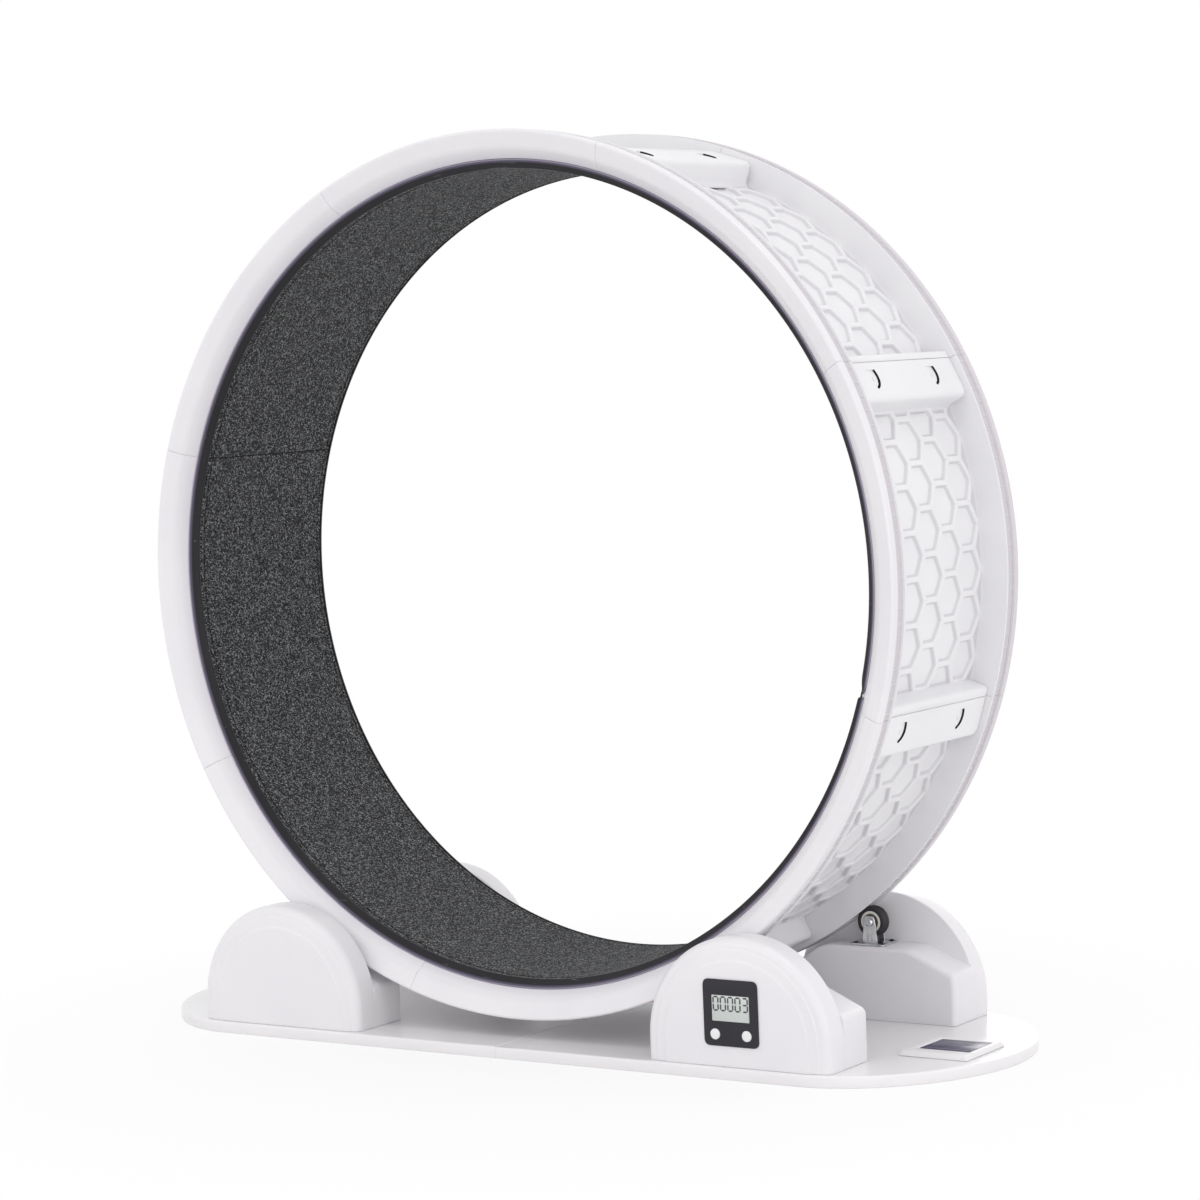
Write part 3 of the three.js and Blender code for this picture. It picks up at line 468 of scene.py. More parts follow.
# ---- Counter ----
# A black plastic case pushed into the front right housing, with a liquid crystal window and two
# round push buttons. Its circuit board and the sensor sit behind, out of sight.
case_black = moulded("case_black", "#29272E", "#302E35", 0.42, grain=1300, scuffs=0.2,
                     Specular_IOR_Level=0.25)
button_white = moulded("button_white", "#EFEEEF", "#E8E7E9", 0.32, grain=1500, scuffs=0.2)
board_green = moulded("board_green", "#2F6B45", "#27593A", 0.5, grain=1500)
digit_ink = moulded("digit_ink", "#3E4145", "#484B4F", 0.3, grain=2000)
crystal, crystal_where = new_material("crystal", Roughness=0.16, Coat_Weight=0.6,
                                      Coat_Roughness=0.04)
weave = noise(crystal_where, 60, 3)
speck = noise(crystal_where, 1500, 1)
crystal_color = mixed(weave, "#C2C8C5", "#CED3D0")
surface(Base_Color=mixed(maths("MULTIPLY", speck, 0.12), crystal_color, "#9FA5A3"))
bump(speck, 0.1, 0.00001)
case_low, case_high = box_mm("counter_case")
display_low, display_high = box_mm("counter_display")
FACE_Y = case_low[1]  # front of the bezel; the counter faces -Y
GLASS_Y = display_low[1]  # front of the display
case_place = ((case_low + case_high) / 2)[[0, 2]]
glass_place = ((display_high + display_low) / 2)[[0, 2]]
glass_size = (display_high - display_low)[[0, 2]]


def box_stack(sections, axis=1):
    """Closed shell through eased rectangles: place, size, corner and level along the axis."""
    return closed_stack([at_level(oblong(*np.array(size) / 2, corner, 9) + place, level, axis)
                         for place, size, corner, level in sections])


case_shell = box_stack([
    (case_place, (60, 67), 1.5, FACE_Y + 15), (case_place, (60, 67), 1.5, FACE_Y + 1.5),
    (case_place, (67.9, 72.4), 7.5, FACE_Y + 1.45), (case_place, (68, 72.5), 7.5, FACE_Y + 0.7),
    (case_place, (67.6, 72.1), 7.4, FACE_Y + 0.2), (case_place, (66.6, 71.1), 7, FACE_Y),
    (glass_place, glass_size + 1.6, 1.4, FACE_Y), (glass_place, glass_size + 0.6, 1, FACE_Y + 0.45),
    (glass_place, glass_size + 0.5, 1, FACE_Y + 3.2),
])
collar_section = [(6.4, 0.4), (6.4, -0.02), (6.7, -0.1), (7.2, -0.1), (7.5, 0.05), (7.5, 0.4)]
button_places = {}
for part in ("left", "right"):
    low, high = box_mm(f"counter_button_{part}")
    button_places[part] = np.array([(low[0] + high[0]) / 2, low[1], (low[2] + high[2]) / 2])
collars = [turned(collar_section, 48, (x, FACE_Y, z)) for x, _, z in button_places.values()]
add_piece("counter_front", [case_shell, *collars], case_black, "stand",
          ["counter_case"], 30)
glass_shell = box_stack([
    (glass_place, glass_size - 0.02, 0.8, display_high[1]),
    (glass_place, glass_size, 0.8, GLASS_Y + 0.15),
    (glass_place, glass_size - 0.4, 0.8, GLASS_Y + 0.05),
])
add_piece("counter_window", [glass_shell], crystal, "stand", ["counter_display"])

# Seven-segment digits: six-sided bars along the lines a to g of each cell.
DIGIT_SIZE, DIGIT_PITCH, BAR = (6, 14.6), 9.15, 1.85
segment_lines = {
    "a": ((0, 1), (1, 1)), "b": ((1, 1), (1, 0.5)), "c": ((1, 0.5), (1, 0)), "d": ((1, 0), (0, 0)),
    "e": ((0, 0), (0, 0.5)), "f": ((0, 0.5), (0, 1)), "g": ((0, 0.5), (1, 0.5)),
}
bars = []
for place, shown in enumerate(["abcdef"] * 4 + ["abcdg"]):
    corner_place = glass_place + (-21.2 + place * DIGIT_PITCH, -2.4)
    for name in shown:
        start, end = (np.array(p) * DIGIT_SIZE + corner_place for p in segment_lines[name])
        along = (end - start) / np.linalg.norm(end - start)
        across = np.array([-along[1], along[0]]) * BAR / 2
        start, end = start + along * 0.35, end - along * 0.35
        inner_start, inner_end = start + along * BAR / 2, end - along * BAR / 2
        tips = [start, inner_start + across, inner_end + across, end]
        tips += [inner_end - across, inner_start - across]
        bars.append(slab(np.array(tips), GLASS_Y - 0.02, GLASS_Y + 0.12, ease=0.01))
add_piece("counter_digits", bars, digit_ink, "stand")
button_section = [(0, 0), (2.5, 0.03), (4.3, 0.16), (5.3, 0.45), (5.85, 1), (6, 1.8)]
button_section += [(6, 5), (7.5, 5), (7.5, 5.6), (0, 5.6)]
for part, place in button_places.items():
    add_piece(f"push_button_{part}", [turned(button_section, 48, place, solid=True)], button_white,
              f"button_{part}", [f"counter_button_{part}"])


def repaint(node, material):
    """Gives a CAD node that is kept as it is a material."""
    for material_slot in bpy.data.objects[node].material_slots:
        material_slot.material = material


repaint("counter_board", board_green)
repaint("counter_sensor", case_black)


# ---- Solar panel ----
# A white moulded frame screwed to the base, sloping on all four sides, with a small photovoltaic
# cell under glass sunk into its top.
frame_low, frame_high = box_mm("solar_frame")
cell_low, cell_high = box_mm("solar_cell")
frame_middle = ((frame_low + frame_high) / 2)[:2]
cell_middle = ((cell_low + cell_high) / 2)[:2]
frame_size = (frame_high - frame_low)[:2]
cell_size = (cell_high - cell_low)[:2]
FRAME_TOP, CELL_TOP = frame_high[2], cell_high[2]
surround = [(frame_middle, frame_size - less, corner, z) for less, corner, z in (
    (0.6, 2.6, frame_low[2]), (0, 2.8, frame_low[2] + 0.6), (0.4, 2.8, frame_low[2] + 1.4),
    (5.2, 2.4, FRAME_TOP - 0.45), (6.6, 2.2, FRAME_TOP - 0.05), (8, 2, FRAME_TOP))]
surround += [(cell_middle, cell_size + more, corner, z) for more, corner, z in (
    (3.4, 1.2, FRAME_TOP), (2.6, 1, FRAME_TOP - 0.1), (0.5, 0.6, CELL_TOP - 0.1),
    (0.4, 0.6, cell_low[2] - 0.2))]
add_piece("solar_surround", [box_stack(surround, 2)], base_white, "stand",
          ["solar_frame"], 25)

cell_glass, cell_where = new_material(
    "cell_glass", Roughness=0.3, Specular_IOR_Level=0.12, Coat_Weight=0.04, Coat_Roughness=0.05)


def axes_of(vector):
    """X, Y and Z of a vector."""
    return fed("SeparateXYZ", vector)


def stripes(value, pitch, width, offset):
    """1 on lines `width` wide that repeat every `pitch`, all in metres."""
    moved = maths("SUBTRACT", value, offset)
    return maths("LESS_THAN", maths("PINGPONG", moved, pitch / 2), width / 2)


cell_axes = axes_of(cell_where)
finger = stripes(cell_axes["X"], 0.0022, 0.0002, cell_middle[0] * MM)
busbar = stripes(cell_axes["Y"], 0.0186, 0.0009, cell_middle[1] * MM)
silver = maths("MAXIMUM", maths("MULTIPLY", finger, 0.35), busbar)
flecks = noise(cell_where, 90, 4, 0.7)
bluish = maths("MULTIPLY_ADD", flecks, 2.6, -0.8, clamp=True)
surface(Base_Color=mixed(silver, mixed(bluish, "#322F45", "#56536C"), "#9C9AA8"))
bump(flecks, 0.08, 0.00004)
cell_shell = box_stack([
    (cell_middle, cell_size, 0.5, cell_low[2]), (cell_middle, cell_size, 0.5, CELL_TOP - 0.25),
    (cell_middle, cell_size - 0.5, 0.5, CELL_TOP),
], 2)
add_piece("solar_glass", [cell_shell], cell_glass, "stand", ["solar_cell"])


# ---- Drum panels ----
# Eight curved panels moulded in white plastic. Outside they carry a raised honeycomb between two
# flanges, a hollow screw block at one end and a beaded flange at the other, and on each rim a
# groove with fine ticks in which the rollers run. One is made, then turned into eight places.
WHEEL_AXIS_Z = 534
FIRST_SEAM = 27.4  # degrees
PANEL_ARC = 45
SHELL_INNER, SHELL_OUTER = 461.1, 463.3
SHELL_HALF = 118  # half the panel's width between the rims
RIB_TOP = 468
HEX_FLAT = 25  # half the distance between two flats of a cell
HEX_COLUMN = 43.3  # between columns of cells, across the drum
FIRST_RIB = 10.95  # first rib of the middle column, along the arc from the seam
BLOCK_TOP = 493
BLOCK_LENGTH = 47
BEAD_LENGTH = 10.5
PAD_HALF = 116.9  # half width of block and bead
SCREW_Y = 66
TICKS = 24
TICK_HEIGHT = 0.6
open_seam = (0.02, PANEL_ARC - 0.02)  # a panel's two ends, with a hair's breadth between panels


def on_wheel(radius, y, degrees):
    """Point at a radius and an angle about the drum's axis: x = r cos a, z = axis + r sin a."""
    radius, y, angle = np.broadcast_arrays(radius, y, np.radians(degrees))
    return np.stack([radius * np.cos(angle), y, WHEEL_AXIS_Z + radius * np.sin(angle)], -1)


def carried(section, degrees):
    """Closed shell of a closed (radius, y) section carried round the drum through the angles;
    the section may also be given for each angle."""
    section, degrees = np.array(section, float), np.asarray(degrees, float)[:, None]
    return closed_stack(on_wheel(section[..., 0], section[..., 1], degrees))


def upright_frame(points, degrees):
    """Points (outwards, y, along the tangent) set in the frame that stands radially at an angle."""
    outwards, y, along = np.moveaxis(np.asarray(points, float), -1, 0)
    angle = math.radians(degrees)
    x = outwards * math.cos(angle) - along * math.sin(angle)
    z = WHEEL_AXIS_Z + outwards * math.sin(angle) + along * math.cos(angle)
    return np.stack([x, y, z], -1)


def hexagon_measure(offset, power):
    """Distance from a cell's centre counted square to its flats: the power mean
    (sum |p . n|^q)^(1/q) over the three normals; a high q gives sharp corners."""
    normals = np.radians([30, 90, 150])
    along = np.abs(offset[..., :1] * np.cos(normals) + offset[..., 1:] * np.sin(normals))
    return (along**power).sum(-1) ** (1 / power)


# From the middle of a rib inwards: distance, height against the rib's top, sharpness of corners.
cell_steps = [(0, 0, 400), (2.1, 0, 80), (2.5, -0.1, 60), (2.9, -0.6, 50), (4.9, -3.8, 34)]
cell_steps += [(5.4, -4.25, 30), (6.4, -4.4, 26), (25, -4.4, 26)]
steps_in, heights, powers = np.array(cell_steps).T
turn = np.radians(np.arange(0, 360, 10))
spoke = np.stack([np.cos(turn), np.sin(turn)], -1)
rings = np.stack([spoke * ((HEX_FLAT - distance) / hexagon_measure(spoke, power))[:, None]
                  for distance, power in zip(steps_in, powers)])
arc_length = math.radians(PANEL_ARC) * RIB_TOP
block_foot = arc_length - BLOCK_LENGTH
centres, real = [], []
for column in range(-3, 4):
    first = FIRST_RIB + (HEX_FLAT if column % 2 == 0 else 0)
    along = first + 2 * HEX_FLAT * np.arange(-1, 9)
    along = along[(along > -HEX_FLAT) & (along < arc_length)]
    centres.append(np.stack([np.full(len(along), column * HEX_COLUMN), along], -1))
    real.append(np.full(len(along), abs(column) < 3))
centres, real = np.concatenate(centres), np.concatenate(real)
cell_points = centres[:, None, None] + rings[None]
cell_height = np.broadcast_to(heights[None, :, None], cell_points.shape[:-1]).copy()
# Beyond the outermost cells the ribs end in a gutter: height by the distance to the nearest cell.
border = cell_points[~real]
nearest = hexagon_measure(border[..., None, :] - centres[real], 60).min(-1)
cell_height[~real] = np.interp(np.abs(nearest - HEX_FLAT), steps_in, heights)
# Cells that are mostly under the screw block rise to its foot, so that no trench is left there.
foot_distance = np.clip(block_foot - cell_points[..., 1], 0, 9)
under_block = centres[:, 1] > block_foot
cell_height[under_block] = np.maximum(cell_height, -0.5 * foot_distance)[under_block]
cell_y = np.clip(cell_points[..., 0], -117.6, 117.6)
cell_along = np.clip(cell_points[..., 1], 6, arc_length - 42)
relief = on_wheel(RIB_TOP + cell_height, cell_y, np.degrees(cell_along / RIB_TOP))
one_cell = np.array(grid_faces(len(steps_in), len(turn), close_columns=True))
first_index = len(steps_in) * len(turn) * np.arange(len(centres))[:, None, None]
relief_faces = (one_cell[None] + first_index).reshape(-1, 4)
# The faces point outwards if those of one rib's top do.
corner = relief.reshape(-1, 3)[relief_faces[:24]]
normal = np.cross(corner[:, 1] - corner[:, 0], corner[:, 2] - corner[:, 0]).sum(0)
if normal @ (corner.mean((0, 1)) - (0, 0, WHEEL_AXIS_Z)) < 0:
    relief_faces = relief_faces[:, ::-1]


def pad_ring(out, inset, bead=False):
    """Plan of the screw block or the bead at a height: its seam side stays nearly upright."""
    low, high = (0.15, BEAD_LENGTH) if bead else (-BLOCK_LENGTH, -0.15)
    near, far = (0.12 * min(inset, 3), inset) if bead else (inset, 0.12 * min(inset, 3))
    wide = PAD_HALF - 1.6 * inset
    corners = [(-wide, low + near), (wide, low + near), (wide, high - far), (-wide, high - far)]
    return at_level(rounded(corners, [1, 1, 4, 4] if bead else [11, 11, 1.5, 1.5], 9), out, 0)


pad_rise = [(463.2, -3), (465, -1.5), (467.4, -0.4), (470.5, 0), (486.5, 0)]
pad_rise += [(489, 0.35), (491.2, 1.3), (492.55, 2.8), (BLOCK_TOP, 4.8)]
block_rings = [pad_ring(out, inset) for out, inset in (*pad_rise, (BLOCK_TOP, 10))]
bead_rings = [pad_ring(out, inset, True) for out, inset in pad_rise]
bead_shell = closed_stack(upright_frame(bead_rings, 0))

# Each screw is reached through a shallow scoop that ends in a dark crescent slit.
right_edge = [(0, -9), (1.5, -13), (2.2, -17.5), (1.8, -21.8), (0, -25.8)]
right_edge += [(-3.2, -29.2), (-7, -31.6), (-9.6, -32.4)]
scoop = np.array([*right_edge, (-14, -29.5), (-18, -24), (-20.5, -17), (-21, -9)])
scoop_depth = np.clip((scoop[:, 0] + 21) / 23, 0, 1) * (0.3 + 0.7 * (scoop[:, 1] + 32.4) / 23.4)
scoop_depth = 0.12 + 2.2 * scoop_depth
slit = [(-10.6, -31.2), (-10, -29.4), (-6.6, -27.8), (-3.6, -25.4), (-1.2, -21.8)]
slit = np.array([*right_edge, *slit, (0, -17.6), (-0.1, -13.2), (-1, -9.2)])
pin = spoke * (1.2, 2.6) - (10.5, 20)


def cutter(outline, middle_y, depth, shade):
    """Closed shell that sinks an outline into the block's face, to a depth given at each point."""
    ring = outline + (middle_y, 0)
    lid, floor = at_level(ring, BLOCK_TOP + 1, 0), at_level(ring, BLOCK_TOP - depth, 0)
    points, faces = closed_stack([lid, floor])
    return new_object("cutter", tidy_mesh("cutter", points, faces, 30, [shade] * len(faces)))


cutters = []
for middle_y in (-SCREW_Y, SCREW_Y):
    cutters.append(cutter(scoop, middle_y, scoop_depth, 0))
    cutters.append(cutter(slit, middle_y, 7, 1))
    cutters.append(cutter(pin, middle_y, 2.4, 0))
block = new_object("block", tidy_mesh("block", *closed_stack(block_rings), 30))
shadow_dark = moulded("shadow_dark", "#1C1B1E", "#262428", 0.7, grain=1200)
track_white = moulded("track_white", "#EBEAEC", "#E5E4E7", 0.34, grain=900, scuffs=0.35)
for material in (track_white, shadow_dark):
    block.data.materials.append(material)
for tool in cutters:
    cut = block.modifiers.new("cut", "BOOLEAN")
    cut.operation, cut.solver, cut.object = "DIFFERENCE", "EXACT", tool
evaluated = block.evaluated_get(bpy.context.evaluated_depsgraph_get())
cut_block = bpy.data.meshes.new_from_object(evaluated)
block_points = np.empty(3 * len(cut_block.vertices))
cut_block.vertices.foreach_get("co", block_points)
block_points = upright_frame(block_points.reshape(-1, 3) / MM, PANEL_ARC)
block_faces = [list(face.vertices) for face in cut_block.polygons]
block_shades = [face.material_index for face in cut_block.polygons]
for tool in (block, *cutters):
    bpy.data.objects.remove(tool)

# Mask by the distance from the wheel's axis: 0 below the first radius, 1 above the second.
wheel_mask, mask_in, mask_out = node_group(
    "wheel_mask",
    [("Vector", "Vector"), ("From Radius", "Float", 0.47), ("To Radius", "Float", 0.48)],
    [("Mask", "Float")])
mask_axes = axes_of(mask_in["Vector"])
mask_up = maths("SUBTRACT", mask_axes["Z"], WHEEL_AXIS_Z * MM)
mask_up = maths("MULTIPLY", mask_up, mask_up)
mask_side = maths("MULTIPLY", mask_axes["X"], mask_axes["X"])
mask_radius = maths("SQRT", maths("ADD", mask_up, mask_side))
mask_span = maths("SUBTRACT", mask_in["To Radius"], mask_in["From Radius"])
mask_above = maths("SUBTRACT", mask_radius, mask_in["From Radius"])
plug(mask_out, Mask=maths("DIVIDE", mask_above, mask_span, clamp=True))


def object_place(material):
    """The Object coordinates that a material already reads."""
    nodes = material.node_tree.nodes
    return next(node for node in nodes if node.type == "TEX_COORD").outputs["Object"]


def beyond(material, start, end):
    """Mask that rises from 0 to 1 between two radii of the wheel, in millimetres."""
    where = object_place(material)
    return fed("Group", where, wheel_mask, From_Radius=start * MM, To_Radius=end * MM)["Mask"]


def within(material, start, end):
    """The reverse of beyond: 1 up to the first radius, 0 from the second."""
    return maths("SUBTRACT", 1, beyond(material, start, end))


def tinted(mask, code):
    """Mixes another colour into a material's Base Color where a mask says so."""
    target = mask.id_data.nodes["Principled BSDF"].inputs["Base Color"]
    feed(target, mixed(mask, target.links[0].from_socket, code))


# Painted shade: the roller grooves are tinted greyer than their ticks and the lips beside them,
# and the pocket walls at the foot of the ribs are tinted darker.
GROOVE_EDGE = 119.8  # distance of the grooves' inner edge from the middle of the wheel
across = maths("ABSOLUTE", axes_of(object_place(track_white))["Y"])
# Painted shade in the grooves, below the tops of the ticks.
groove_shade = maths("GREATER_THAN", across, GROOVE_EDGE * MM)
groove_shade = maths("MULTIPLY", groove_shade, within(track_white, 497.05, 497.3))
tinted(groove_shade, "#CBC6CC")
# Painted shade on the walls between the pocket floors and the rib tops.
rib_foot_shade = within(track_white, 466.2, 467.8)
rib_foot_shade = maths("MULTIPLY", rib_foot_shade, beyond(track_white, 463.65, 464.15))
tinted(maths("MULTIPLY", rib_foot_shade, 0.5), "#BDBBC1")

slab_section = [(SHELL_INNER, -SHELL_HALF), (SHELL_OUTER, -SHELL_HALF), (SHELL_OUTER, SHELL_HALF)]
slab_section.append((SHELL_INNER, SHELL_HALF))
slab_shell = carried(slab_section, np.linspace(*open_seam, 61))
rail = [(SHELL_INNER, 112), (463.6, 110.8), (464.1, 112.4), (465, 114.3), (466.8, 116)]
rail += [(469.5, 116.8), (474, 117), (498.6, 117), (499.1, 117.15), (499.4, 117.6)]
rail += [(499.4, 118.9), (499, 119.4), (497.6, 119.6), (497, 120), (496.8, 120.6)]
rail += [(496.8, 133.2), (497.1, 133.8), (496.9, 134), (494.5, 134), (494.5, 119.6)]
rail.append((SHELL_INNER, 119.5))
groove_floor = slice(14, 16)  # its two corners in the rail's section
tick_middle = (np.arange(TICKS) + 0.5) * PANEL_ARC / TICKS
tick_edges = (tick_middle[:, None] + np.array([-0.12, -0.08, 0.08, 0.12])).reshape(-1)
plain = np.setdiff1d(np.linspace(*open_seam, 49), tick_middle)
rail_angles = np.concatenate([plain, tick_edges])
tick_lift = np.tile([0, TICK_HEIGHT, TICK_HEIGHT, 0], TICKS)
rail_lift = np.concatenate([np.zeros(len(plain)), tick_lift])
order = np.argsort(rail_angles)
rail_grid = np.broadcast_to(np.array(rail), (len(order), len(rail), 2)).copy()
rail_grid[:, groove_floor, 0] += rail_lift[order, None]
rail_shells = [carried(rail_grid * (1, side), rail_angles[order]) for side in (1, -1)]

panel = stacked((block_points, block_faces), slab_shell, *rail_shells, bead_shell)
panel_shades = block_shades + [0] * (len(panel[1]) - len(block_shades))
panel_mesh = tidy_mesh("panel", *panel, 34, panel_shades, sheet=(relief, relief_faces.tolist()))


def turned_mesh(mesh, name, place):
    """Copy of a mesh turned about the drum's axis into one of the eight places."""
    turned_copy = mesh.copy()
    turned_copy.name = name
    shift = Matrix.Translation((0, 0, WHEEL_AXIS_Z * MM))
    turning = Matrix.Rotation(-math.radians(FIRST_SEAM + PANEL_ARC * place), 4, "Y")
    turned_copy.transform(shift @ turning @ shift.inverted())
    return turned_copy


for i in range(8):
    place_piece(f"honeycomb_panel_{i + 1}", turned_mesh(panel_mesh, f"panel_{i + 1}", i),
                (track_white, shadow_dark), "drum", [f"track_panel_{i + 1}"])


# ---- Rim covers ----
# Glossy white channel mouldings clipped over both rims, eight to a side: a rounded shoulder, a
# leaning face, a soft ridge and an inner bevel that ends against the rubber seal.
cover_corners = [(499.4, 134.3), (499.4, 146), (478, 138.5), (466.9, 126), (466.9, 119.8)]
cover_corners += [(469.9, 119.8), (469.9, 124.2), (479.8, 135.5), (496.6, 142.2), (496.6, 134.3)]
cover_section = rounded(cover_corners, [0.5, 4.5, 4, 1.3, 0.5, 0.5, 1, 2.5, 2.5, 0.4], 9)
# Painted shade: the covers' foot beside the seal and the rear covers' shoulder are darker.
rim_white = moulded("rim_white", "#EAE8EB", "#E5E3E7", 0.28, grain=1100, scuffs=0.35)
# Painted shade on the bevel towards the seal.
painted_foot_shade = maths("MULTIPLY", within(rim_white, 466.8, 474.5), 0.45)
tinted(painted_foot_shade, "#CBC4D2")
# Painted shade on the rear covers' outer shoulder band.
at_rear = maths("GREATER_THAN", axes_of(object_place(rim_white))["Y"], 0)
tinted(maths("MULTIPLY", at_rear, beyond(rim_white, 498.4, 499.1)), "#D3CDD3")


def drawn_in(section, distance):
    """Closed outline moved inwards along its own normals."""
    edge = np.roll(section, -1, 0) - np.roll(section, 1, 0)
    normal = np.stack([edge[:, 1], -edge[:, 0]], -1)
    normal /= np.maximum(np.linalg.norm(normal, axis=1, keepdims=True), 1e-9)
    x, y = section.T
    area = (x * np.roll(y, -1) - np.roll(x, -1) * y).sum()
    return section - normal * distance * np.sign(area)


cover_ends = np.array([0.014, 0.03, 0.07])
cover_angles = np.linspace(0.6, PANEL_ARC - 0.6, 74)
cover_angles = np.concatenate([cover_ends, cover_angles, PANEL_ARC - cover_ends[::-1]])
cover_inset = np.zeros(len(cover_angles))
cover_inset[[0, 1, -2, -1]] = (0.3, 0.08, 0.08, 0.3)
cover_grid = np.array([drawn_in(cover_section, inset) for inset in cover_inset])
for part, side in (("front", -1), ("rear", 1)):
    cover_mesh = tidy_mesh("cover", *carried(cover_grid * (1, side), cover_angles), 34)
    for i in range(8):
        mesh = turned_mesh(cover_mesh, f"cover_{part}_{i + 1}", i)
        place_piece(f"rim_cover_{part}_{i + 1}", mesh, (rim_white,), "drum",
                    [f"{part}_ring_segment_{i + 1}"])


# ---- Edge seals ----
# Extruded black rubber strips that hold down the carpet's two edges, butted at one joint, where
# one end is trimmed to a point and the other is rounded. Their outer lip has a painted highlight.
seal_rubber = moulded("seal_rubber", "#151418", "#1D1B22", 0.34, grain=1300, scuffs=0.5,
                      depth=0.00004, Specular_IOR_Level=0.3)
# Painted highlight: the outer lip is lightened to purple-grey, and nearly white at its edge.
tinted(beyond(seal_rubber, 462.2, 463.8), "#544E62")
tinted(beyond(seal_rubber, 464.6, 466.2), "#A9A3B3")
seal_corners = [(456, 117), (456, 119.6), (458.8, 121.7), (462.5, 124.2), (465.4, 126)]
seal_corners += [(466.6, 125.2), (466.6, 123), (460.3, 119.9), (460.3, 117)]
seal_section = rounded(seal_corners, [0.6, 1.2, 1.5, 1.5, 0.7, 0.7, 0.7, 0.8, 0.5], 6)
seal_anchor = np.array([464.2, 123.9])
into_start = np.array([0, 0.25, 0.6, 1.1, 1.7, 2.4])
into_end = np.array([0.6, 0.35, 0.17, 0.06, 0])
seal_run = np.linspace(-12.5, 343, 357)
seal_angles = np.concatenate([-15.35 + into_start, seal_run, 344.15 - into_end])
seal_scale = [[0.08, 0.3, 0.55, 0.76, 0.92, 1], np.ones(len(seal_run))]
seal_scale = np.concatenate([*seal_scale, [1, 0.93, 0.78, 0.6, 0.35]])[:, None, None]
seal_grid = seal_anchor + (seal_section - seal_anchor) * seal_scale
for part, side in (("front", -1), ("rear", 1)):
    add_piece(f"rubber_seal_{part}", [carried(seal_grid * (1, side), seal_angles)], seal_rubber,
              "drum", [f"{part}_edge_seal"], 50)


# ---- Carpet ----
# Two strips of looped-pile carpet in a dark grey heather, laid along the running face and butted
# where they meet. The loops stand in rows, and both long edges are pressed down by the seals.
CARPET_WIDTH, CARPET_FACE, CARPET_BACK = 233, 456.1, 460.4
STITCH_LINE = 109.5  # where the seals press, from the middle of the carpet
carpet, _ = new_material("carpet", Roughness=0.95, Specular_IOR_Level=0.12,
                         Sheen_Weight=0.08, Sheen_Roughness=0.5)
carpet_nodes = carpet.node_tree.nodes
cloth_map = carpet_nodes.new("ShaderNodeUVMap")
cloth_map.uv_map = "cloth"
cloth = cloth_map.outputs[0]


def loops(along, across):
    """Voronoi cells stretched along one way of the cloth, in cells a metre: rise and tone."""
    grid = fed("Mapping", cloth, Scale=(along, across, 1))[0]
    cells = fed("TexVoronoi", grid, Scale=1)
    cells["Distance"].node.voronoi_dimensions = "2D"
    split = carpet_nodes.new("ShaderNodeSeparateColor")
    plug(split.inputs, Color=cells["Color"])
    return cells["Distance"], split.outputs[0]


loop_rise, loop_tone = loops(740, 500)
tuft_tone = loops(260, 190)[1]
heather = carpet_nodes.new("ShaderNodeValToRGB")
heather.color_ramp.elements[0].color = tone("#1E1F20")
heather.color_ramp.elements[1].color = tone("#BCBDC0")
for place, code in ((0.25, "#303133"), (0.5, "#555658"), (0.8, "#88898B")):
    heather.color_ramp.elements.new(place).color = tone(code)
tone_mix = maths("MULTIPLY_ADD", tuft_tone, 0.08, -0.04)
feed(heather.inputs[0], maths("ADD", loop_tone, tone_mix, clamp=True))
pressed = maths("ABSOLUTE", axes_of(cloth)["Y"])
pressed = maths("ABSOLUTE", maths("SUBTRACT", pressed, STITCH_LINE * MM))
pressed = maths("DIVIDE", pressed, 0.0016)
pressed = maths("SUBTRACT", 1, pressed, clamp=True)
shade = maths("MULTIPLY", pressed, 0.5)
shade = maths("MULTIPLY_ADD", loop_rise, 1.15, shade, clamp=True)
surface(Base_Color=mixed(shade, heather.outputs[0], "#17181A"))
rows = maths("MULTIPLY_ADD", loop_rise, -1, 1)
bump(maths("SUBTRACT", rows, pressed), 0.9, 0.0012)
from_edge = np.array([0, 0.05, 0.5, 2, 5, 6.1, 7, 7.9])
edge_drops = [3, 1.6, 0.7, 0.1, 0.05, 0.3, 0.5, 0]
middle = np.linspace(-107, 107, 35)
half_width = CARPET_WIDTH / 2
across = np.concatenate([from_edge - half_width, middle, half_width - from_edge[::-1]])
edge_drop = np.interp(half_width - np.abs(across), from_edge, edge_drops)
strip_angles = [[0.05, 0.07, 0.14, 0.3], np.linspace(0.7, 179.3, 260)]
strip_angles = np.concatenate([*strip_angles, [179.7, 179.86, 179.93, 179.95]])
end_drop = np.zeros(len(strip_angles))
end_drop[[0, 1, 2, 3, -4, -3, -2, -1]] = (3.4, 1.4, 0.5, 0.12, 0.12, 0.5, 1.4, 3.4)
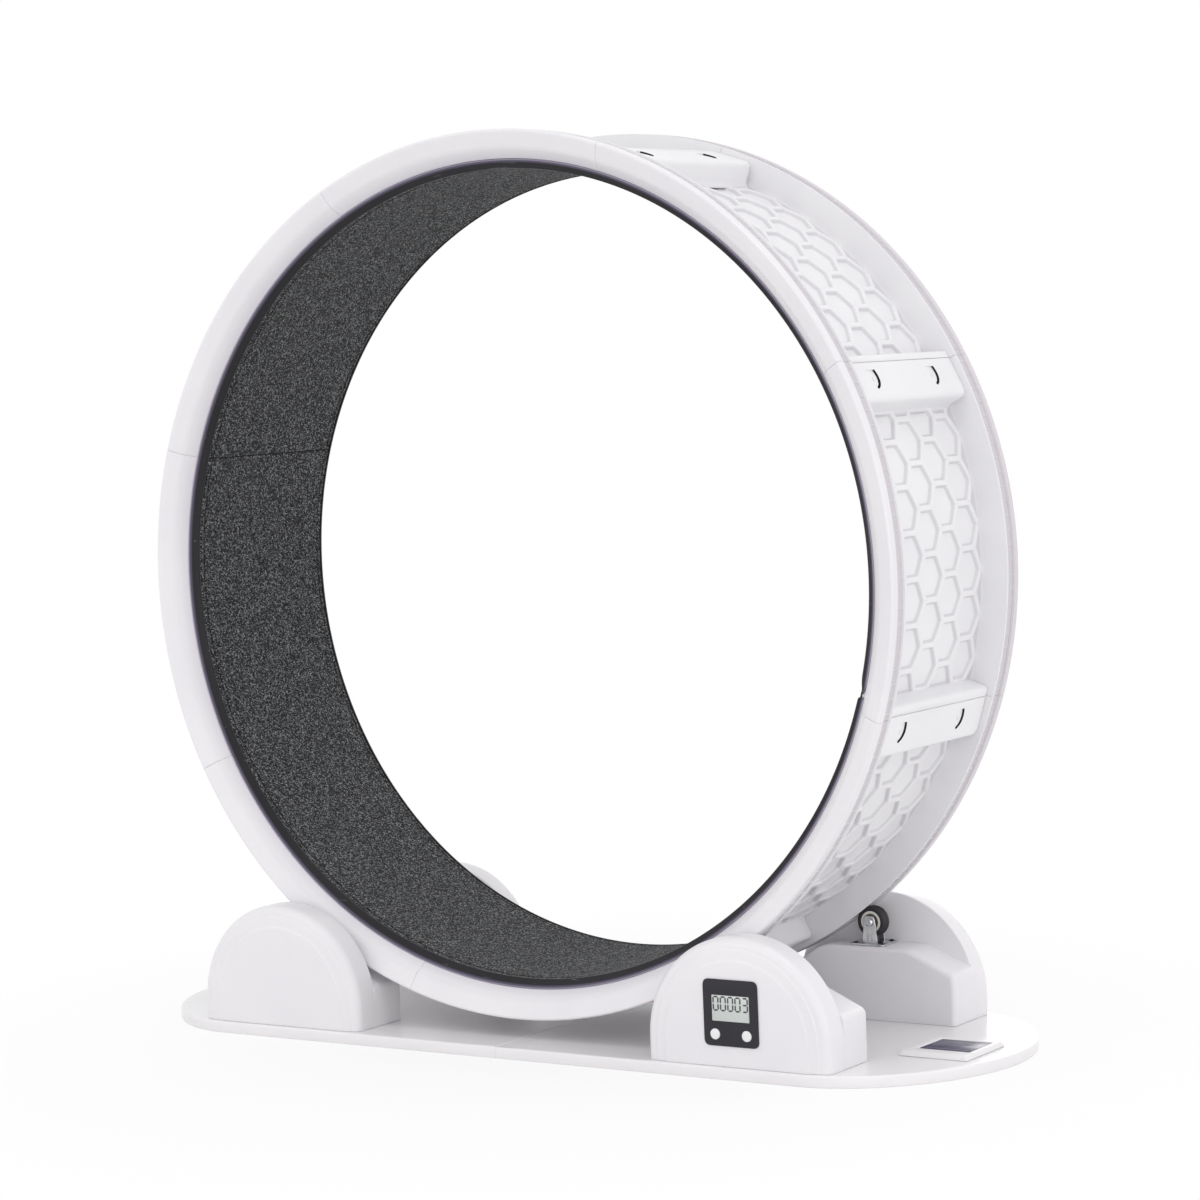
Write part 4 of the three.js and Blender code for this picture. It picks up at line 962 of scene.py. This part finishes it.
for i in range(2):
    start = FIRST_SEAM - PANEL_ARC + 180 * i
    degrees = (start + strip_angles)[:, None]
    wave = 0.12 * np.sin(degrees * 2.1 + across * 0.05) * np.cos(across * 0.11 + degrees * 0.7)
    face = CARPET_FACE + 0.15 + np.maximum(edge_drop, end_drop[:, None]) + wave
    radius = np.concatenate([face, np.full(face.shape, CARPET_BACK)], 1)
    points, faces = closed_stack(on_wheel(radius, np.concatenate([across, across[::-1]]), degrees))
    mesh = tidy_mesh(f"carpet_{i + 1}", points, faces, 50)
    layer = mesh.uv_layers.new(name="cloth")
    spots = np.empty(3 * len(mesh.vertices))
    mesh.vertices.foreach_get("co", spots)
    x, y, z = spots.reshape(-1, 3).T
    turn_angle = np.arctan2(z - WHEEL_AXIS_Z * MM, x) - math.radians(start + 90)
    turn_angle = (turn_angle + math.pi) % (2 * math.pi) - math.pi
    index = np.empty(len(mesh.loops), np.int32)
    mesh.loops.foreach_get("vertex_index", index)
    cloth_place = np.stack([turn_angle * CARPET_FACE * MM + i, y], -1)
    layer.data.foreach_set("uv", cloth_place[index].reshape(-1))
    piece = place_piece(f"carpet_{i + 1}", mesh, (carpet,), "drum",
                        [f"carpet_strip_{i + 1}"])


# ---- Magnet ----
# A small nickel-plated disc inside one front rim cover; it passes the counter's sensor once a turn.
nickel = moulded("nickel", "#A3A4A7", "#8C8D90", 0.3, grain=2000, Metallic=0.9)
repaint("counter_magnet", nickel)


# ---- Studio ----
# A plain pale floor that keeps a faint shadow, large soft lamps, and a white surround.
WORLD_LIGHT = 0.88


def backdrop_rays(nodes, *others):
    """1 for the rays that show the white surround: from the camera, from gloss, or others."""
    path = nodes.new("ShaderNodeLightPath").outputs
    seen = maths("MAXIMUM", path["Is Camera Ray"], path["Is Glossy Ray"])
    for name in others:
        seen = maths("MAXIMUM", seen, path[name])
    return seen


floor_material, floor_where = new_material("floor", Roughness=0.9, Base_Color="#ECECEC")
floor_nodes = floor_material.node_tree.nodes
glow = floor_nodes.new("ShaderNodeEmission")
glow.inputs["Color"].default_value = (1, 1, 1, 1)
# The floor turns to pure white away from the object, so that no horizon shows.
distance = floor_nodes.new("ShaderNodeVectorMath")
distance.operation = "LENGTH"
feed(distance.inputs[0], floor_where)
fade = maths("MULTIPLY_ADD", distance.outputs["Value"], 0.32, 0.7, clamp=True)
seen = maths("MULTIPLY", backdrop_rays(floor_nodes), fade)
blend_floor = floor_nodes.new("ShaderNodeMixShader")
for i, value in enumerate((seen, floor_nodes["Principled BSDF"].outputs[0], glow.outputs[0])):
    feed(blend_floor.inputs[i], value)
plug(floor_nodes["Material Output"].inputs, Surface=blend_floor.outputs[0])
floor_mesh = bpy.data.meshes.new("floor")
floor_corners = [(-30, -30, 0), (30, -30, 0), (30, 30, 0), (-30, 30, 0)]
floor_mesh.from_pydata(floor_corners, [], [(0, 1, 2, 3)])
floor_mesh.materials.append(floor_material)
new_object("floor", floor_mesh)

world = bpy.data.worlds.new("studio")
world.use_nodes = True
bpy.context.scene.world = world
sky_nodes = world.node_tree.nodes
seen = backdrop_rays(sky_nodes, "Is Transmission Ray")
plug(sky_nodes["Background"].inputs, Color=(1, 1, 1, 1),
     Strength=maths("MULTIPLY_ADD", seen, 1 - WORLD_LIGHT, WORLD_LIGHT))


def facing(place, right, up, back):
    """Matrix that stands at a place and looks against `back`."""
    return Matrix.Translation(place) @ Matrix(np.column_stack([right, up, back]).tolist()).to_4x4()


# Square area lamps: place, the point they face, size, power and colour.
lamps = {
    "top": ((0.6, -0.8, 3.4), (0, 0, 0.4), 2.2, 14, (1, 0.995, 0.99)),
    "front_left": ((-1.6, -3.4, 0.9), (0, 0, 0.4), 2, 12, (1, 0.99, 0.985)),
    "right": ((3.4, -0.4, 1.8), (0, 0, 0.5), 1.6, 5, (1, 0.99, 0.99)),
    "right_low": ((3, 0.2, 0.5), (-0.2, 0, 0.05), 1, 5, (1, 0.99, 0.99)),
    "rear_low": ((-0.3, 2.8, 0.55), (-0.05, 0, 0.02), 1.4, 16, (1, 0.99, 0.99)),
    "low": ((2.2, -2.6, 0.5), (-0.1, 0, 0.1), 1.4, 9, (1, 0.99, 0.99)),
}
for name, (place, aim, size, power, color) in lamps.items():
    data = bpy.data.lights.new(name, "AREA")
    data.size, data.energy, data.color = size, power, color
    lamp = new_object(name, data)
    away = np.array(place, float) - np.array(aim, float)
    away /= np.linalg.norm(away)
    side = np.cross((0, 0, 1), away)
    side /= np.linalg.norm(side)
    lamp.matrix_world = facing(place, side, np.cross(away, side), away)

# The camera stands 4.13 m from a point above the base, rolled by 2.3 degrees; its focal length
# and its principal point are in pixels of a frame of 1200 px.
FRAME_SIZE, FOCAL, PRINCIPAL_Y = 1200, 3604.38, 580.767
CAMERA_AIM, CAMERA_DISTANCE = (0.037629, 0, 0.52), 4.12994
azimuth, elevation, tilt = (math.radians(value) for value in (33.535, 3.94, -2.292))
ground = np.array([math.sin(azimuth), -math.cos(azimuth), 0])
back = ground * math.cos(elevation) + (0, 0, math.sin(elevation))
level = np.array([math.cos(azimuth), math.sin(azimuth), 0])
above = np.cross(back, level)
sideways = level * math.cos(tilt) + above * math.sin(tilt)
upwards = above * math.cos(tilt) - level * math.sin(tilt)
camera_data = bpy.data.cameras.new("camera")
camera_data.sensor_width = 36
camera_data.lens = 36 * FOCAL / FRAME_SIZE
camera_data.shift_y = (PRINCIPAL_Y - FRAME_SIZE / 2) / FRAME_SIZE
camera_data.clip_end = 100
camera = new_object("camera", camera_data)
place = np.array(CAMERA_AIM) + back * CAMERA_DISTANCE
camera.matrix_world = facing(place.tolist(), sideways, upwards, back)
bpy.context.scene.camera = camera
bpy.context.scene.view_settings.view_transform = "Standard"
